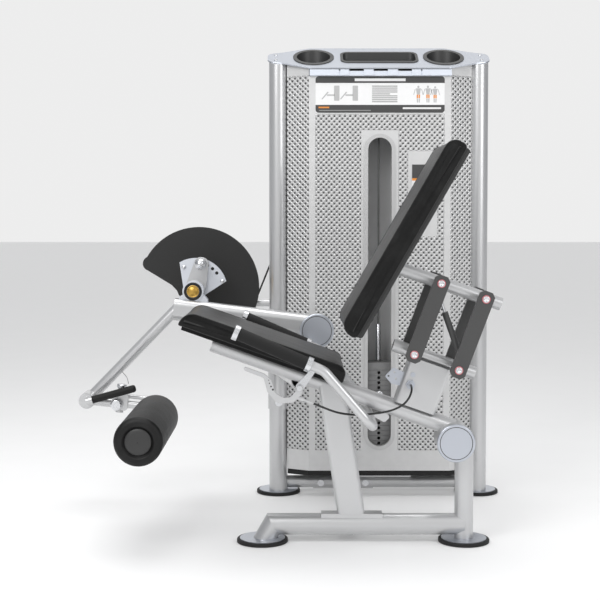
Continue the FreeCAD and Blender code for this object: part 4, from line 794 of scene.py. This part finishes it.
def lever_holes():
    """Painted shade in the release lever's four graduated holes: a dark disc just inside each hole stands in for
    the shade seen through it.
    """
    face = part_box("release_lever")[0].y + 0.0008
    for number, (x, z, radius) in enumerate(LEVER_HOLES):
        shade_disc_profile = [(0.0001, face), (radius, face), (radius, face + 0.003)]
        dot = lathe(f"lever_hole_shade_{number}", (x, 0.0, z), shade_disc_profile, CABLE_COAT, 24)
        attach(dot, "release")


stack_stem()
stop_studs()
shroud_lower_band()
lever_holes()


# ---- placard and label prints ----
def print_shape(name, corners, y, material):
    return plate(name, corners, y - PRINT_T, y, material)


def print_bar(name, x0, x1, z0, z1, y, material, radii=(0, 0, 0, 0)):
    return print_shape(name, rounded_outline(x0, x1, z0, z1, radii), y, material)


def body_figure(x, z, size, y):
    """A plain body outline, arms at its sides, with thighs marked in orange."""
    def limb(name, corners, side, material):
        return print_shape(name, [(x + side * a * size, z + b * size) for a, b in corners], y, material)

    head = rounded_outline(x - 0.06 * size, x + 0.06 * size, z + 0.86 * size, z + size, (0.05 * size,) * 4)
    made = [print_shape("figure_head", head, y, FIGURE), limb("figure_torso", TORSO, 1, FIGURE)]
    for side in (-1, 1):
        made.append(limb("figure_arm", ARM, side, FIGURE))
        made.append(limb("figure_shin", SHIN, side, FIGURE))
    return made + [limb("figure_thigh", THIGH, side, ORANGE) for side in (-1, 1)]


TEXT_ROWS = 9
LABEL_ROWS = 12
# outlines as shares of a figure's height, from its middle line and its feet
TORSO = ((-0.15, 0.84), (-0.09, 0.48), (0.09, 0.48), (0.15, 0.84))
ARM = ((0.16, 0.82), (0.21, 0.80), (0.30, 0.46), (0.26, 0.46))
SHIN = ((0.02, 0.0), (0.08, 0.0), (0.10, 0.24), (0.02, 0.24))
THIGH = ((0.015, 0.26), (0.10, 0.26), (0.10, 0.47), (0.015, 0.47))
FIGURE = shade("figure_print", grey(0.42), grey(0.5), 0.4, 0.0, 160.0, 0.03, 0.0002)
TEXT_TONE = shade("text_print", grey(0.22), grey(0.3), 0.4, 0.0, 160.0, 0.03, 0.0002)
LIGHT_TONE = shade("light_print", grey(0.7), grey(0.8), 0.4, 0.0, 160.0, 0.03, 0.0002)


def placard():
    board = islands(frame["nodes"]["placards"].data)
    low, high = max(board, key=lambda pair: pair[1].x - pair[0].x)
    tall = max(board, key=lambda pair: pair[1].z - pair[0].z)
    y = low.y
    middle = (low.x + high.x) / 2
    over = y - PRINT_T
    made = [
        print_bar("header", low.x, high.x, high.z - 0.022, high.z, y, DARK_PRINT, (0, 0, 0.010, 0.010)),
        print_bar("footer", low.x, high.x, low.z, low.z + 0.026, y, DARK_PRINT, (0.010, 0.010, 0, 0)),
        print_bar("footer_mark", low.x + 0.010, low.x + 0.046, low.z + 0.015, low.z + 0.020, over, ORANGE),
        print_bar("footer_line", low.x + 0.012, low.x + 0.185, low.z + 0.006, low.z + 0.009, over,
                  TEXT_TONE),
        print_bar("footer_note", high.x - 0.140, high.x - 0.012, low.z + 0.012, low.z + 0.018, over,
                  LIGHT_TONE),
        print_bar("header_bar", middle - 0.085, middle + 0.085, high.z - 0.016, high.z - 0.007, over,
                  LIGHT_TONE),
    ]
    for row in range(TEXT_ROWS):
        z = high.z - 0.034 - row * 0.0065
        width = 0.06 if row == 4 else 0.085
        start = middle - 0.027
        made.append(print_bar("text_line", start, start + width, z, z + 0.003, y, TEXT_TONE))
    for place in (0.050, 0.112):
        x, z = low.x + place, low.z + 0.040
        made.append(print_bar("machine_tower", x + 0.012, x + 0.030, z, z + 0.050, y, FIGURE, (0.002,) * 4))
        made.append(print_bar("machine_seat", x - 0.012, x + 0.014, z + 0.016, z + 0.021, y, FIGURE))
        arm = [(x - 0.030, z + 0.006), (x - 0.027, z + 0.004), (x - 0.006, z + 0.028),
               (x - 0.010, z + 0.030)]
        made.append(print_shape("machine_arm", arm, y, FIGURE))
    for offset, size in ((0.088, 0.056), (0.056, 0.056), (0.032, 0.054)):
        made += body_figure(high.x - offset, low.z + 0.034, size, y)
    whole = merged("placard_print_lines", made)
    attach(whole, "frame")

    low, high = tall
    marks = [
        print_bar("label_header", low.x, high.x, high.z - 0.046, high.z, y, DARK_PRINT),
        print_bar("label_body", low.x, high.x, low.z, high.z - 0.046, y, LIGHT_TONE),
        print_bar("label_stripe", low.x, high.x, high.z - 0.054, high.z - 0.046, over, ORANGE),
    ]
    for row in range(LABEL_ROWS):
        z = high.z - 0.066 - row * 0.011
        end = high.x - 0.006 - 0.008 * (row % 3)
        marks.append(print_bar("label_line", low.x + 0.006, end, z, z + 0.005, over, TEXT_TONE))
    label = merged("label_print_lines", marks)
    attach(label, "frame")


placard()


# ---- studio ----
def studio():
    paint = shade("floor_paint", grey(0.80), grey(0.84), 0.7, 0.0, 4.0, 0.02, 0.0005)
    glow = paint.node_tree.nodes["Principled BSDF"]
    glow.inputs["Emission Color"].default_value = (1, 1, 1, 1)
    glow.inputs["Emission Strength"].default_value = 0.10
    floor = plate("floor", [(-40, -0.02), (40, -0.02), (40, -0.001), (-40, -0.001)], -40, 40, paint)
    world = bpy.data.worlds.new("studio")
    bpy.context.scene.world = world
    world.use_nodes = True
    tree = world.node_tree
    background = tree.nodes["Background"]
    place = tree.nodes.new("ShaderNodeTexCoord")
    part = tree.nodes.new("ShaderNodeSeparateXYZ")
    tree.links.new(place.outputs["Generated"], part.inputs[0])
    side = tree.nodes.new("ShaderNodeMath")
    side.operation = "ABSOLUTE"
    tree.links.new(part.outputs["X"], side.inputs[0])
    ramp = tree.nodes.new("ShaderNodeValToRGB")
    ramp.color_ramp.elements[0].position = 0.25
    ramp.color_ramp.elements[0].color = (1.0, 1.0, 1.0, 1)
    ramp.color_ramp.elements[1].position = 0.85
    ramp.color_ramp.elements[1].color = (0.36, 0.37, 0.39, 1)
    tree.links.new(side.outputs[0], ramp.inputs[0])
    tree.links.new(ramp.outputs[0], background.inputs["Color"])
    background.inputs["Strength"].default_value = 0.85
    lamps = (("key", (-1.6, -2.6, 2.9), 60.0, 1.8), ("fill", (2.4, -2.2, 1.8), 22.0, 1.6),
             ("top", (0.0, 0.2, 3.4), 40.0, 2.2))
    for name, place_at, power, size in lamps:
        data = bpy.data.lights.new(name, "AREA")
        data.energy = power
        data.size = size
        made = bpy.data.objects.new(name, data)
        made.location = place_at
        made.rotation_euler = (Vector((0, 0, 0.7)) - Vector(place_at)).to_track_quat("-Z", "Y").to_euler()
        bpy.context.scene.collection.objects.link(made)
    bpy.context.scene.view_settings.view_transform = "Standard"


studio()
